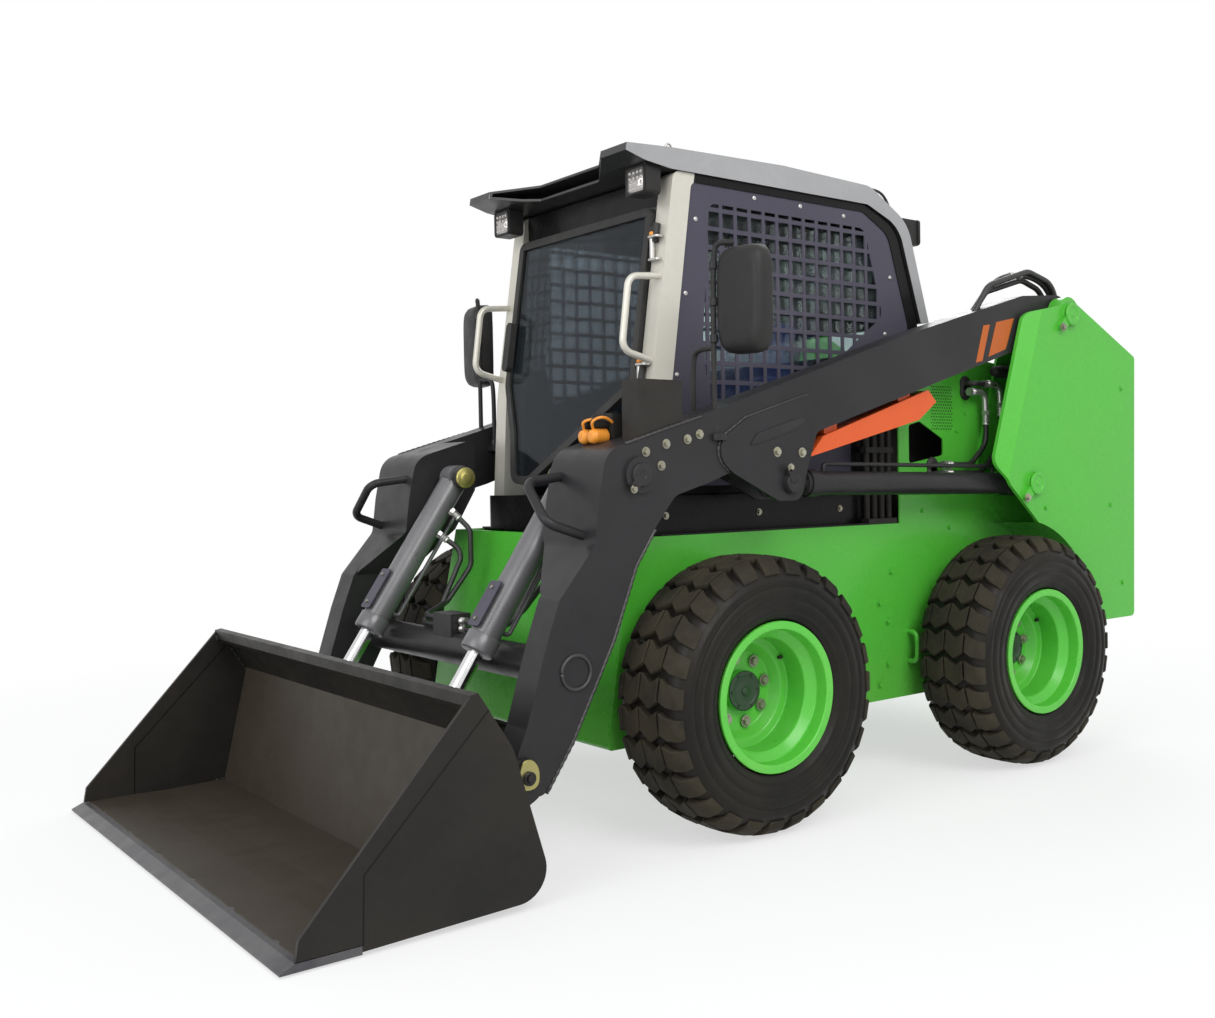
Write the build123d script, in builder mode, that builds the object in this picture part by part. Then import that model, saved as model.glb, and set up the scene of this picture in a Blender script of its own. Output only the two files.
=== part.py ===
from build123d import *
from math import atan2, cos, degrees, hypot, radians, sin
import os

# Skid steer loader.  Millimetres; X runs ahead, Y to the operator's left, Z up.
# The ground is Z = 0 and the origin is the middle of the machine's length and width.
# Side profiles are tables of (x, z, corner radius), where x is measured from the rear axle.

# --- Driving dimensions -----------------------------------------------------------------
REAR_AXLE_X = -1040.0        # rear axle line, from the origin
WHEELBASE = 1320.0
TYRE_RADIUS = 420.0
TYRE_WIDTH = 305.0
TYRE_FACE_Y = 910.0          # outer face of the tyres, from the centre line

FRAME_HALF_WIDTH = 560.0     # outer face of the main frame's side walls
FRAME_BOTTOM_Z = 265.0
FRAME_TOP_Z = 895.0          # top edge of the side walls, ahead of the seam
SEAM_X = 348.0               # step in the side walls, where the rear panels start
SEAM_Z = 825.0               # lower edge of the rear side panels
FRAME_WALL = 12.0
PANEL_WALL = 6.0

TOWER_FACE_Y = 785.0         # outer face of the tower plates
TOWER_PLATE = 14.0
TOWER_INNER_PLATE = 12.0
ARCH_RADIUS = 475.0          # clearance cut round the rear tyre
ARCH_PLATE = 6.0

ARM_OUTER_Y = 725.0          # outer face of the lift arms' boxes
ARM_INNER_Y = 620.0          # inner face of the lift arms' boxes
ARM_PLATE = 12.0
ARM_DOUBLER = 12.0           # doubler plate that carries the lift rod's pin
KNEE_INNER_Y = 450.0         # inner face of the wide knees

CAB_HALF_WIDTH = 480.0       # outer face of the side screens
CAB_SHEET = 5.0              # side screens
POST_WIDTH = 68.0            # front posts, across the machine
SILL_BOTTOM_Z = FRAME_TOP_Z
SILL_TOP_Z = 1017.0
ROOF_SHEET = 5.0

BUCKET_WIDTH = 1855.0
BUCKET_SHEET = 10.0
BUCKET_SIDE = 12.0
EDGE_THICKNESS = 20.0        # cutting edge
EDGE_DEPTH = 190.0

LIFT_CENTRE_Y = 672.5        # centre planes of the cylinders
TILT_CENTRE_Y = 370.0
LIFT_TUBE_RADIUS = 40.0
TILT_TUBE_RADIUS = 45.0
TUBE_WALL = 7.0
LIFT_ROD_RADIUS = 22.0
TILT_ROD_RADIUS = 24.0
LIFT_EYE_WIDTH = 70.0
TILT_EYE_WIDTH = 70.0
LIFT_EYE_RADIUS = 46.0
TILT_EYE_RADIUS = 44.0

ARM_PIN_RADIUS = 30.0
LIFT_PIN_RADIUS = 25.0
TILT_PIN_RADIUS = 22.5
FOOT_PIN_RADIUS = 22.5

RUN_FIT = 0.05               # radial clearance of a shaft in its bore
SEAT_GAP = 0.3               # between curved or fitted faces that only rest together
MOVE_GAP = 5.0               # between pieces that move past each other

# --- Pivots: (x from the rear axle, z) --------------------------------------------------
ARM_PIVOT = (-310.0, 1672.0)
LIFT_BASE = (-80.0, 1030.0)
LIFT_EYE = (1115.0, 1051.0)
TILT_BASE = (1695.0, 1084.0)
TILT_EYE = (2141.0, 412.0)
FOOT_PIVOT = (2095.0, 285.0)
TORSION_CENTRE = (1915.0, 544.0)


def at(x, z):
    """A point of the XZ plane, from its distance ahead of the rear axle and its height."""
    return (REAR_AXLE_X + x, z)


def side_plane(y):
    """The XZ plane at this Y.  An extrusion from it runs towards -Y."""
    return Plane.XZ.offset(-y)


def profile(points, shift=0.0):
    """A closed side profile from rows of (x, z, corner radius), grown by shift."""
    with BuildSketch() as face:
        with BuildLine():
            FilletPolyline(
                *[at(x, z) for x, z, _ in points],
                radius=[r for _, _, r in points],
                close=True,
            )
        make_face()
        if shift:
            offset(amount=shift, kind=Kind.INTERSECTION)
    return face.sketch


def across(centre, radius, y_low, y_high):
    """A round bar along Y from y_low to y_high, centred on a side-profile point."""
    x, z = at(*centre)
    with BuildPart() as bar:
        with BuildSketch(side_plane(y_high)):
            with Locations((x, z)):
                Circle(radius)
        extrude(amount=y_high - y_low)
    return bar.part


def plate(points, y_low, y_high, shift=0.0):
    """A flat plate of this side profile between two Y planes."""
    with BuildPart() as sheet:
        with BuildSketch(side_plane(y_high)):
            add(profile(points, shift))
        extrude(amount=y_high - y_low)
    return sheet.part


def block(x_low, x_high, y_low, y_high, z_low, z_high):
    """A box between these limits, with x measured from the rear axle."""
    with BuildPart() as solid:
        with Locations((REAR_AXLE_X + x_low, y_low, z_low)):
            Box(x_high - x_low, y_high - y_low, z_high - z_low, align=(Align.MIN,) * 3)
    return solid.part


def save(piece, name):
    """Label a finished piece and write it under its node's name."""
    piece.part.label = name
    export_step(piece.part, f"parts/{name}.step")


os.makedirs("parts", exist_ok=True)

# --- Wheels -----------------------------------------------------------------------------
BEAD_RADIUS = 209.0          # where the tyre's beads sit
FLANGE_RADIUS = 226.0
RIM_WALL = 9.0
DROP_RADIUS = 180.0          # drop centre of the rim
HUB_FACE_IN = 200.0          # face of the wheel disc, inside the tyre's outer face
DISC_WALL = 12.0
HUB_RADIUS = 62.0
HUB_FLANGE_RADIUS = 128.0
SHAFT_RADIUS = 35.0
AXLE_TUBE_RADIUS = 58.0
AXLE_TUBE_END_Y = 650.0
CARCASS = 20.0               # tyre sidewall
TREAD = 44.0                 # rubber and casing under the tread
SHOULDER = 44.0              # inset of the tread's shoulders

wheel_rows = [
    # name, axle x from the rear axle, side (+1 left, -1 right)
    ("front_left", WHEELBASE, 1),
    ("front_right", WHEELBASE, -1),
    ("rear_left", 0.0, 1),
    ("rear_right", 0.0, -1),
]


def wheel_section(axle_x, rows):
    """Rows of (radius, distance in from the tyre's outer face, corner) to a half section."""
    with BuildSketch(Plane.XY.offset(TYRE_RADIUS)) as section:
        with BuildLine():
            FilletPolyline(
                *[(REAR_AXLE_X + axle_x + r, TYRE_FACE_Y - inset) for r, inset, _ in rows],
                radius=[corner for _, _, corner in rows],
                close=True,
            )
        make_face()
    return section.sketch


def tyre_rows():
    """The tyre's section, from the outer bead round the tread to the inner one and back inside."""
    w = TYRE_WIDTH
    bead_in = 26.0
    belly = BEAD_RADIUS + 0.44 * (TYRE_RADIUS - BEAD_RADIUS)
    inner = TYRE_RADIUS - TREAD
    outside = [
        (BEAD_RADIUS, bead_in, 0),
        (BEAD_RADIUS + 24, bead_in, 12),
        (belly, 0, 60),
        (TYRE_RADIUS - 40, 4, 30),
        (TYRE_RADIUS, SHOULDER, 14),
    ]
    inside = [
        (inner, SHOULDER + 22, 24),
        (belly, CARCASS, 60),
        (BEAD_RADIUS + 26, bead_in + CARCASS, 12),
        (BEAD_RADIUS, bead_in + CARCASS + 6, 0),
    ]
    far_side = [(r, w - inset, c) for r, inset, c in reversed(outside)]
    far_inside = [(r, w - inset, c) for r, inset, c in reversed(inside)]
    return outside + far_side + far_inside + inside


def rim_rows():
    """The rim's section: flanges, bead seats, drop centre and the dished disc with its hub."""
    w = TYRE_WIDTH
    flange_in = 26.0 - SEAT_GAP
    seat = BEAD_RADIUS - SEAT_GAP
    disc_in = HUB_FACE_IN
    tyre_side = [
        (FLANGE_RADIUS, flange_in - RIM_WALL, 3),
        (FLANGE_RADIUS, flange_in, 0),
        (seat, flange_in, 0),
        (seat, flange_in + 42, 8),
        (DROP_RADIUS, flange_in + 66, 8),
        (DROP_RADIUS, w - flange_in - 66, 8),
        (seat, w - flange_in - 42, 8),
        (seat, w - flange_in, 0),
        (FLANGE_RADIUS, w - flange_in, 0),
        (FLANGE_RADIUS, w - flange_in + RIM_WALL, 3),
    ]
    inboard = [
        (seat - RIM_WALL, w - flange_in + RIM_WALL, 6),
        (seat - RIM_WALL, w - flange_in - 38, 8),
        (DROP_RADIUS - RIM_WALL, w - flange_in - 62, 8),
        (DROP_RADIUS - RIM_WALL, disc_in + DISC_WALL, 4),
        (HUB_FLANGE_RADIUS, disc_in + DISC_WALL, 0),
        (HUB_FLANGE_RADIUS, disc_in + DISC_WALL + 22, 3),
        (SHAFT_RADIUS, disc_in + DISC_WALL + 22, 0),
        (SHAFT_RADIUS, TYRE_FACE_Y - FRAME_HALF_WIDTH - MOVE_GAP, 0),
        (0, TYRE_FACE_Y - FRAME_HALF_WIDTH - MOVE_GAP, 0),
    ]
    outboard = [
        (0, disc_in - 26, 0),
        (HUB_RADIUS, disc_in - 26, 6),
        (HUB_RADIUS, disc_in, 0),
        (HUB_FLANGE_RADIUS - 6, disc_in, 8),
        (HUB_FLANGE_RADIUS + 18, disc_in - 30, 10),
        (DROP_RADIUS - RIM_WALL, disc_in - 34, 6),
        (DROP_RADIUS - RIM_WALL, flange_in + 62, 8),
        (seat - RIM_WALL, flange_in + 38, 8),
        (seat - RIM_WALL, flange_in - RIM_WALL, 6),
    ]
    return tyre_side + inboard + outboard


for wheel, axle_x, side in wheel_rows:
    axle = Axis((REAR_AXLE_X + axle_x, 0, TYRE_RADIUS), (0, 1, 0))
    with BuildPart() as tyre:
        add(wheel_section(axle_x, tyre_rows()))
        revolve(axis=axle)
        if side < 0:
            mirror(about=Plane.XZ, mode=Mode.REPLACE)
    save(tyre, f"{wheel}_tyre")

    with BuildPart() as rim:
        add(wheel_section(axle_x, rim_rows()))
        revolve(axis=axle)
        if side < 0:
            mirror(about=Plane.XZ, mode=Mode.REPLACE)
    save(rim, f"{wheel}_rim")

# The four axle tubes are bolted to the frame's side walls; the hubs' shafts turn in them.
AXLE_FLANGE = 14.0
with BuildPart() as axle_tubes:
    for axle_x in (0.0, WHEELBASE):
        centre = (axle_x, TYRE_RADIUS)
        add(across(centre, 95, FRAME_HALF_WIDTH, FRAME_HALF_WIDTH + AXLE_FLANGE))
        add(across(centre, AXLE_TUBE_RADIUS, FRAME_HALF_WIDTH, AXLE_TUBE_END_Y))
        bore = across(centre, SHAFT_RADIUS + RUN_FIT, FRAME_HALF_WIDTH - 1, AXLE_TUBE_END_Y + 1)
        add(bore, mode=Mode.SUBTRACT)
    mirror(about=Plane.XZ)
save(axle_tubes, "axle_tubes")

# --- Main frame -------------------------------------------------------------------------
FRAME_REAR_X = -714.0
BULKHEAD_X = 470.0           # between the operator's well and the battery bay
frame_rows = [
    # x, z, corner radius
    (FRAME_REAR_X, SEAM_Z, 0),
    (FRAME_REAR_X, 470, 30),
    (-560, FRAME_BOTTOM_Z, 40),
    (1706, FRAME_BOTTOM_Z, 12),
    (1635, 710, 40),
    (1598, FRAME_TOP_Z, 0),
    (SEAM_X, FRAME_TOP_Z, 0),
    (SEAM_X, SEAM_Z, 0),
]
well_rows = [
    # the space inside the walls, open at the top
    (FRAME_REAR_X + FRAME_WALL, 1200, 0),
    (FRAME_REAR_X + FRAME_WALL, 476, 20),
    (-554, FRAME_BOTTOM_Z + FRAME_WALL, 30),
    (1706 - FRAME_WALL - 2, FRAME_BOTTOM_Z + FRAME_WALL, 4),
    (1635 - FRAME_WALL, 708, 30),
    (1598 - FRAME_WALL, FRAME_TOP_Z, 0),
    (1598 - FRAME_WALL, 1200, 0),
]
FRAME_INNER_Y = FRAME_HALF_WIDTH - FRAME_WALL
with BuildPart() as chassis_frame:
    add(plate(frame_rows, -FRAME_HALF_WIDTH, FRAME_HALF_WIDTH))
    add(plate(well_rows, -FRAME_INNER_Y, FRAME_INNER_Y), mode=Mode.SUBTRACT)
    add(
        block(
            BULKHEAD_X, BULKHEAD_X + PANEL_WALL, -FRAME_INNER_Y, FRAME_INNER_Y,
            FRAME_BOTTOM_Z + FRAME_WALL, FRAME_TOP_Z,
        )
    )
save(chassis_frame, "chassis_frame")

# --- Battery and drive block, closed in behind the operator ------------------------------
BATTERY_HALF_WIDTH = 400.0
BATTERY_TOP_Z = 1350.0
with BuildPart() as battery_pack:
    add(
        block(
            -530, 380, -BATTERY_HALF_WIDTH, BATTERY_HALF_WIDTH,
            FRAME_BOTTOM_Z + FRAME_WALL, BATTERY_TOP_Z,
        )
    )
    chamfer(battery_pack.edges().filter_by(Axis.Z), 20)
save(battery_pack, "battery_pack")

# --- Rear side panels -------------------------------------------------------------------
PANEL_FRONT_X = 415.0
panel_rows = [
    (FRAME_REAR_X, SEAM_Z, 0),
    (SEAM_X, SEAM_Z, 0),
    (SEAM_X, FRAME_TOP_Z, 0),
    (PANEL_FRONT_X, FRAME_TOP_Z, 0),
    (PANEL_FRONT_X, 1355, 30),
    (300, 1430, 40),
    (-100, 1500, 40),
    (FRAME_REAR_X, 1430, 20),
]
hatch_rows = [
    # opening with the hydraulic fittings
    (360, 1250, 12),
    (300, 1265, 12),
    (170, 1200, 12),
    (170, 1140, 12),
    (360, 1110, 12),
]
with BuildPart() as side_panels:
    add(plate(panel_rows, FRAME_HALF_WIDTH - PANEL_WALL, FRAME_HALF_WIDTH))
    add(
        plate(hatch_rows, FRAME_HALF_WIDTH - PANEL_WALL - 1, FRAME_HALF_WIDTH + 1),
        mode=Mode.SUBTRACT,
    )
    mirror(about=Plane.XZ)
save(side_panels, "side_panels")

# Pipes that stand in the gap between the side panels and the cab, in two clamps a side.
PIPE_RADIUS = 11.0
PIPE_Y = 529.0
PIPE_HIGH_Z = 1330.0
with BuildPart() as side_pipes:
    with Locations(*[(REAR_AXLE_X + x, PIPE_Y, FRAME_TOP_Z) for x in (438, 476, 514, 552)]):
        Cylinder(
            PIPE_RADIUS, PIPE_HIGH_Z - FRAME_TOP_Z,
            align=(Align.CENTER, Align.CENTER, Align.MIN),
        )
    add(block(422, 568, PIPE_Y - 14, FRAME_INNER_Y + 6, FRAME_TOP_Z, FRAME_TOP_Z + 20))
    add(block(422, 568, PIPE_Y - 14, PIPE_Y + 14, 1150, 1170))
    mirror(about=Plane.XZ)
save(side_pipes, "side_pipes")

# --- Towers -----------------------------------------------------------------------------
FOLD_WIDTH = 62.0            # strip folded inwards along the towers' front edges
FOLD_DEPTH = 33.0            # how far in the strip's front edge lies
TOWER_SHOULDER = (-70.0, 1666.0)
TOWER_NOSE = (116.0, 1110.0)
tower_rows = [
    (-760, 1530, 14),
    (-345, 1724, 30),
    (*TOWER_SHOULDER, 60),
    (*TOWER_NOSE, 60),
    (58, 1026, 30),
    (-120, 872, 0),
    (-120, 480, 0),
    (-745, 480, 20),
]
tower_inner_rows = [
    (-748, 880, 0),
    (-748, 1524, 14),
    (-345, 1712, 30),
    (-200, 1690, 40),
    (-20, 1120, 60),
    (-40, 1000, 30),
    (-160, 880, 0),
]
TOWER_INNER_Y = FRAME_HALF_WIDTH + TOWER_INNER_PLATE
TOWER_GAP_Y = TOWER_FACE_Y - TOWER_PLATE


edge_length = hypot(TOWER_SHOULDER[0] - TOWER_NOSE[0], TOWER_SHOULDER[1] - TOWER_NOSE[1])
edge_way = (
    (TOWER_SHOULDER[0] - TOWER_NOSE[0]) / edge_length,
    (TOWER_SHOULDER[1] - TOWER_NOSE[1]) / edge_length,
)


def beside_edge(along, back):
    """A point this far up the tower's front edge from its nose, and this far behind the edge."""
    return (
        TOWER_NOSE[0] + edge_way[0] * along - edge_way[1] * back,
        TOWER_NOSE[1] + edge_way[1] * along + edge_way[0] * back,
    )


behind_fold_rows = [
    # everything behind the fold line
    (*beside_edge(-400, FOLD_WIDTH), 0),
    (*beside_edge(900, FOLD_WIDTH), 0),
    (*beside_edge(900, 2000), 0),
    (*beside_edge(-400, 2000), 0),
]


def build_fold():
    """The strip that slants inwards along the left tower's front edge."""
    x, z = at(*beside_edge(-100, FOLD_WIDTH))
    with BuildPart() as fold:
        with BuildSketch(
            Plane(origin=(x, 0, z), x_dir=(edge_way[1], 0, -edge_way[0]),
                  z_dir=(edge_way[0], 0, edge_way[1]))
        ):
            with BuildLine():
                Polyline(
                    (0, TOWER_GAP_Y), (0, TOWER_FACE_Y),
                    (FOLD_WIDTH, TOWER_FACE_Y - FOLD_DEPTH), (FOLD_WIDTH, TOWER_GAP_Y - FOLD_DEPTH),
                    close=True,
                )
            make_face()
        extrude(amount=edge_length + 200)
        add(plate(tower_rows, TOWER_GAP_Y - FOLD_DEPTH - 1, TOWER_FACE_Y), mode=Mode.INTERSECT)
    return fold.part


def build_outer_plate():
    """The left tower's outer plate, as far as the fold line."""
    with BuildPart() as sheet:
        add(plate(tower_rows, TOWER_GAP_Y, TOWER_FACE_Y))
        add(plate(behind_fold_rows, TOWER_GAP_Y, TOWER_FACE_Y), mode=Mode.INTERSECT)
    return sheet.part


def build_tower():
    """The left tower: two plates, back and top plates, arch plate, pins and their covers."""
    with BuildPart() as tower:
        # outer plate with its folded front edge
        add(build_outer_plate())
        add(build_fold())
        add(plate(tower_inner_rows, FRAME_HALF_WIDTH, TOWER_INNER_Y))
        # back plate
        add(block(-760, -748, FRAME_HALF_WIDTH, TOWER_GAP_Y, 482, 1528))
        # top plate, behind the hoses
        with BuildSketch(side_plane(TOWER_GAP_Y)):
            with BuildLine():
                Polyline(at(-758, 1516), at(-758, 1526), at(-480, 1656), at(-480, 1644), close=True)
            make_face()
        extrude(amount=TOWER_GAP_Y - TOWER_INNER_Y + 1)
        # arch over the rear tyre
        with BuildSketch(side_plane(TOWER_GAP_Y)):
            with Locations(at(0, TYRE_RADIUS)):
                Circle(ARCH_RADIUS + ARCH_PLATE)
                Circle(ARCH_RADIUS, mode=Mode.SUBTRACT)
            with Locations(at(-300, 680)):
                Rectangle(2 * 300 - 2 * 120, 400, mode=Mode.INTERSECT)
        extrude(amount=TOWER_GAP_Y - FRAME_HALF_WIDTH)
        # bosses that carry the pins, a little clear of what turns between them
        for pivot, boss, low, high in (
            (ARM_PIVOT, 68, ARM_INNER_Y - 10, ARM_OUTER_Y + 10),
            (LIFT_BASE, 46, LIFT_CENTRE_Y - LIFT_EYE_WIDTH / 2 - MOVE_GAP,
             LIFT_CENTRE_Y + LIFT_EYE_WIDTH / 2 + MOVE_GAP),
        ):
            add(across(pivot, boss, FRAME_HALF_WIDTH, low))
            add(across(pivot, boss, high, TOWER_FACE_Y))
        # wheel clearance through the outer plate
        add(
            across((0, TYRE_RADIUS), ARCH_RADIUS, FRAME_HALF_WIDTH - 1, TOWER_FACE_Y + 1),
            mode=Mode.SUBTRACT,
        )
        # the pins themselves
        add(across(ARM_PIVOT, ARM_PIN_RADIUS, FRAME_HALF_WIDTH, TOWER_FACE_Y))
        add(across(LIFT_BASE, LIFT_PIN_RADIUS, FRAME_HALF_WIDTH, TOWER_FACE_Y))
        # round covers with a lock plate each
        for pivot in (ARM_PIVOT, LIFT_BASE):
            add(across(pivot, 44, TOWER_FACE_Y, TOWER_FACE_Y + 10))
            with BuildSketch(side_plane(TOWER_FACE_Y + 16)):
                with Locations(at(pivot[0] + 30, pivot[1] - 26)):
                    SlotOverall(96, 34, rotation=-40)
            extrude(amount=16)
    return tower.part


with BuildPart() as tower_left:
    add(build_tower())
save(tower_left, "tower_left")
with BuildPart() as tower_right:
    add(mirror(tower_left.part, about=Plane.XZ))
save(tower_right, "tower_right")

# --- Lift arms --------------------------------------------------------------------------
arm_rows = [
    (-100, 1735, 60),
    (-395, 1762, 80),
    (-395, 1582, 80),
    (-150, 1556, 60),
    (985, 1214, 30),
    (1062, 1000, 45),
    (1168, 1000, 45),
    (1345, 1090, 60),
    (1430, 1060, 60),
    (1565, 1022, 60),
    (1640, 930, 60),
    (1710, 830, 60),
    (1795, 620, 60),
    (1940, 346, 60),
    (2030, 215, 45),
    (2150, 250, 50),
    (2080, 410, 60),
    (2012, 630, 60),
    (1970, 745, 30),
    (1850, 890, 40),
    (1835, 1010, 60),
    (1806, 1155, 80),
    (1464, 1259, 300),
    (550, 1550, 300),
]
bracket_slot_rows = [
    # room for the lift rod's eye between the bracket's two sides
    (1020, 1150, 0),
    (1020, 940, 0),
    (1290, 940, 0),
    (1290, 1085, 20),
    (1200, 1150, 20),
]
knee_rows = [
    (1575, 1225, 30),
    (1575, 1040, 20),
    (1640, 930, 40),
    (1720, 800, 0),
    (1920, 700, 0),
    (1970, 745, 30),
    (1850, 890, 40),
    (1835, 1010, 60),
    (1806, 1155, 80),
]
doubler_rows = [
    (1005, 1338, 20),
    (1040, 1120, 40),
    (1066, 996, 42),
    (1164, 996, 42),
    (1350, 1085, 70),
    (1440, 1160, 60),
    (1290, 1254, 40),
]
KNEE_FOOT_Z = 900.0          # where the knees start to narrow to the legs
KNEE_END_Z = 745.0
FOOT_BOSS_RADIUS = 50.0
TILT_CAP_Y = 300.0           # inner end of the tilt cylinders' upper pins


def build_arm():
    """The left lift arm: a box beam, a wide knee and a box leg, with its bosses and brackets."""
    with BuildPart() as arm:
        add(plate(arm_rows, ARM_INNER_Y, ARM_OUTER_Y))
        add(plate(knee_rows, KNEE_INNER_Y, ARM_INNER_Y + 1))
        # the knee's inner face slants out to the leg
        with BuildSketch(Plane.YZ.offset(REAR_AXLE_X + 1500)):
            with BuildLine():
                Polyline(
                    (KNEE_INNER_Y, KNEE_FOOT_Z), (ARM_INNER_Y, KNEE_END_Z),
                    (ARM_INNER_Y, 600), (KNEE_INNER_Y - 10, 600), (KNEE_INNER_Y - 10, KNEE_FOOT_Z),
                    close=True,
                )
            make_face()
        extrude(amount=600, mode=Mode.SUBTRACT)
        # hollow inside, open at the lift bracket
        add(
            plate(arm_rows, ARM_INNER_Y + ARM_PLATE, ARM_OUTER_Y - ARM_PLATE, shift=-ARM_PLATE),
            mode=Mode.SUBTRACT,
        )
        add(
            plate(bracket_slot_rows, ARM_INNER_Y + ARM_PLATE, ARM_OUTER_Y - ARM_PLATE),
            mode=Mode.SUBTRACT,
        )
        add(plate(doubler_rows, ARM_OUTER_Y, ARM_OUTER_Y + ARM_DOUBLER))
        # bosses
        add(across(ARM_PIVOT, 72, ARM_INNER_Y - 5, ARM_OUTER_Y + 5))
        add(across(FOOT_PIVOT, FOOT_BOSS_RADIUS, ARM_INNER_Y, ARM_OUTER_Y))
        add(across(LIFT_EYE, 34, ARM_OUTER_Y, ARM_OUTER_Y + ARM_DOUBLER + 12))
        add(across(TILT_BASE, 52, ARM_OUTER_Y, ARM_OUTER_Y + 12))
        add(across(TORSION_CENTRE, 52, ARM_OUTER_Y, ARM_OUTER_Y + 4))
        add(across(TORSION_CENTRE, 40, ARM_OUTER_Y, ARM_OUTER_Y + 5), mode=Mode.SUBTRACT)
        # pin of the tilt cylinder, with its cap
        add(across(TILT_BASE, TILT_PIN_RADIUS, TILT_CAP_Y, ARM_OUTER_Y + 12))
        add(across(TILT_BASE, 38, TILT_CAP_Y, TILT_CENTRE_Y - TILT_TUBE_RADIUS - 3))
        # bores
        add(
            across(ARM_PIVOT, ARM_PIN_RADIUS + RUN_FIT, ARM_INNER_Y - 10, ARM_OUTER_Y + 10),
            mode=Mode.SUBTRACT,
        )
        add(
            across(FOOT_PIVOT, FOOT_PIN_RADIUS + RUN_FIT, ARM_INNER_Y - 10, ARM_OUTER_Y + 10),
            mode=Mode.SUBTRACT,
        )
    return arm.part


with BuildPart() as lift_arm_left:
    add(build_arm())
save(lift_arm_left, "lift_arm_left")
with BuildPart() as lift_arm_right:
    add(mirror(lift_arm_left.part, about=Plane.XZ))
save(lift_arm_right, "lift_arm_right")

# --- Torsion tube between the legs ------------------------------------------------------
TORSION_RADIUS = 52.0
with BuildPart() as torsion_tube:
    add(across(TORSION_CENTRE, TORSION_RADIUS, -ARM_INNER_Y, ARM_INNER_Y))
    add(
        across(TORSION_CENTRE, TORSION_RADIUS - 9, -ARM_INNER_Y - 1, ARM_INNER_Y + 1),
        mode=Mode.SUBTRACT,
    )
save(torsion_tube, "torsion_tube")

# --- Knee handrails ---------------------------------------------------------------------
RAIL_RADIUS = 14.0


def tube_along(points, radius, bend):
    """A round bar along 3-D points, with this bend radius at every corner."""
    with BuildPart() as bar:
        with BuildLine() as path:
            FilletPolyline(*points, radius=bend)
        start = path.line @ 0
        with BuildSketch(Plane(origin=start, z_dir=path.line % 0)):
            Circle(radius)
        sweep(path=path.line)
    return bar.part


def spot(x, y, z):
    """A 3-D point, with x measured from the rear axle."""
    return (REAR_AXLE_X + x, y, z)


with BuildPart() as arm_handrails:
    add(
        tube_along(
            [spot(1800, 505, 1085), spot(1945, 520, 1068), spot(1955, 640, 955), spot(1815, 660, 905)],
            RAIL_RADIUS, 42,
        )
    )
    add(plate(knee_rows, KNEE_INNER_Y, ARM_INNER_Y + 1), mode=Mode.SUBTRACT)
    add(plate(arm_rows, ARM_INNER_Y, ARM_OUTER_Y), mode=Mode.SUBTRACT)
    mirror(about=Plane.XZ)
save(arm_handrails, "arm_handrails")

# --- Support strut stowed under the left arm --------------------------------------------
strut_rows = [
    (1003, 1133, 0),
    (938, 1201, 0),
    (419, 1367, 10),
    (377, 1326, 0),
    (468, 1261, 0),
]
with BuildPart() as arm_support_strut:
    add(plate(strut_rows, 640, 706))
    add(plate(strut_rows, 648, 698, shift=-8), mode=Mode.SUBTRACT)
    # the two lugs that hang it from the arm
    for x in (500, 860):
        add(block(x, x + 60, 655, 691, 1210 + 0.32 * (860 - x), 1420))
    add(plate(arm_rows, ARM_INNER_Y, ARM_OUTER_Y), mode=Mode.SUBTRACT)
    add(block(377, 1003, 655, 691, 1380, 1700), mode=Mode.SUBTRACT)
save(arm_support_strut, "arm_support_strut")

# --- Hoses ------------------------------------------------------------------------------
HOSE_RADIUS = 11.0
HOSE_BEND = 88.0             # four diameters, on the hoses' middle line
hose_rows = [
    # y, points (x, z) from the arm's top, up and over to its rear end
    (692, [(175, 1620), (60, 1765), (-180, 1838), (-345, 1800), (-362, 1680)]),
    (650, [(130, 1640), (25, 1748), (-195, 1812), (-330, 1776), (-350, 1680)]),
]
with BuildPart() as arm_hoses:
    for y, route in hose_rows:
        add(tube_along([spot(x, y, z) for x, z in route], HOSE_RADIUS, HOSE_BEND))
    add(plate(arm_rows, ARM_INNER_Y, ARM_OUTER_Y), mode=Mode.SUBTRACT)
    mirror(about=Plane.XZ)
save(arm_hoses, "arm_hoses")

FEED_Y = 600.0               # centre plane of the lift cylinders' feed hoses
feed_rows = [
    # points (x, z), bends: out of the panel, back, down, forward and into the panel again
    ([(40, 1378), (-32, 1378), (-36, 1185), (60, 1104), (235, 1104)], [22, 22, 80, 80, 22]),
    ([(40, 1410), (-122, 1410), (-128, 1180), (0, 1072), (235, 1072)], [22, 22, 100, 100, 22]),
]
with BuildPart() as lift_hoses:
    for route, bends in feed_rows:
        first, last = route[0], route[-1]
        run = [spot(x, FEED_Y, z) for x, z in route]
        start = spot(first[0], FRAME_HALF_WIDTH, first[1])
        stop = spot(last[0], FRAME_HALF_WIDTH, last[1])
        add(tube_along([start, *run, stop], HOSE_RADIUS - 1, bends))
        for end in (first, last):
            add(across(end, 18, FRAME_HALF_WIDTH, FRAME_HALF_WIDTH + 6))
    mirror(about=Plane.XZ)
save(lift_hoses, "lift_hoses")

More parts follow.
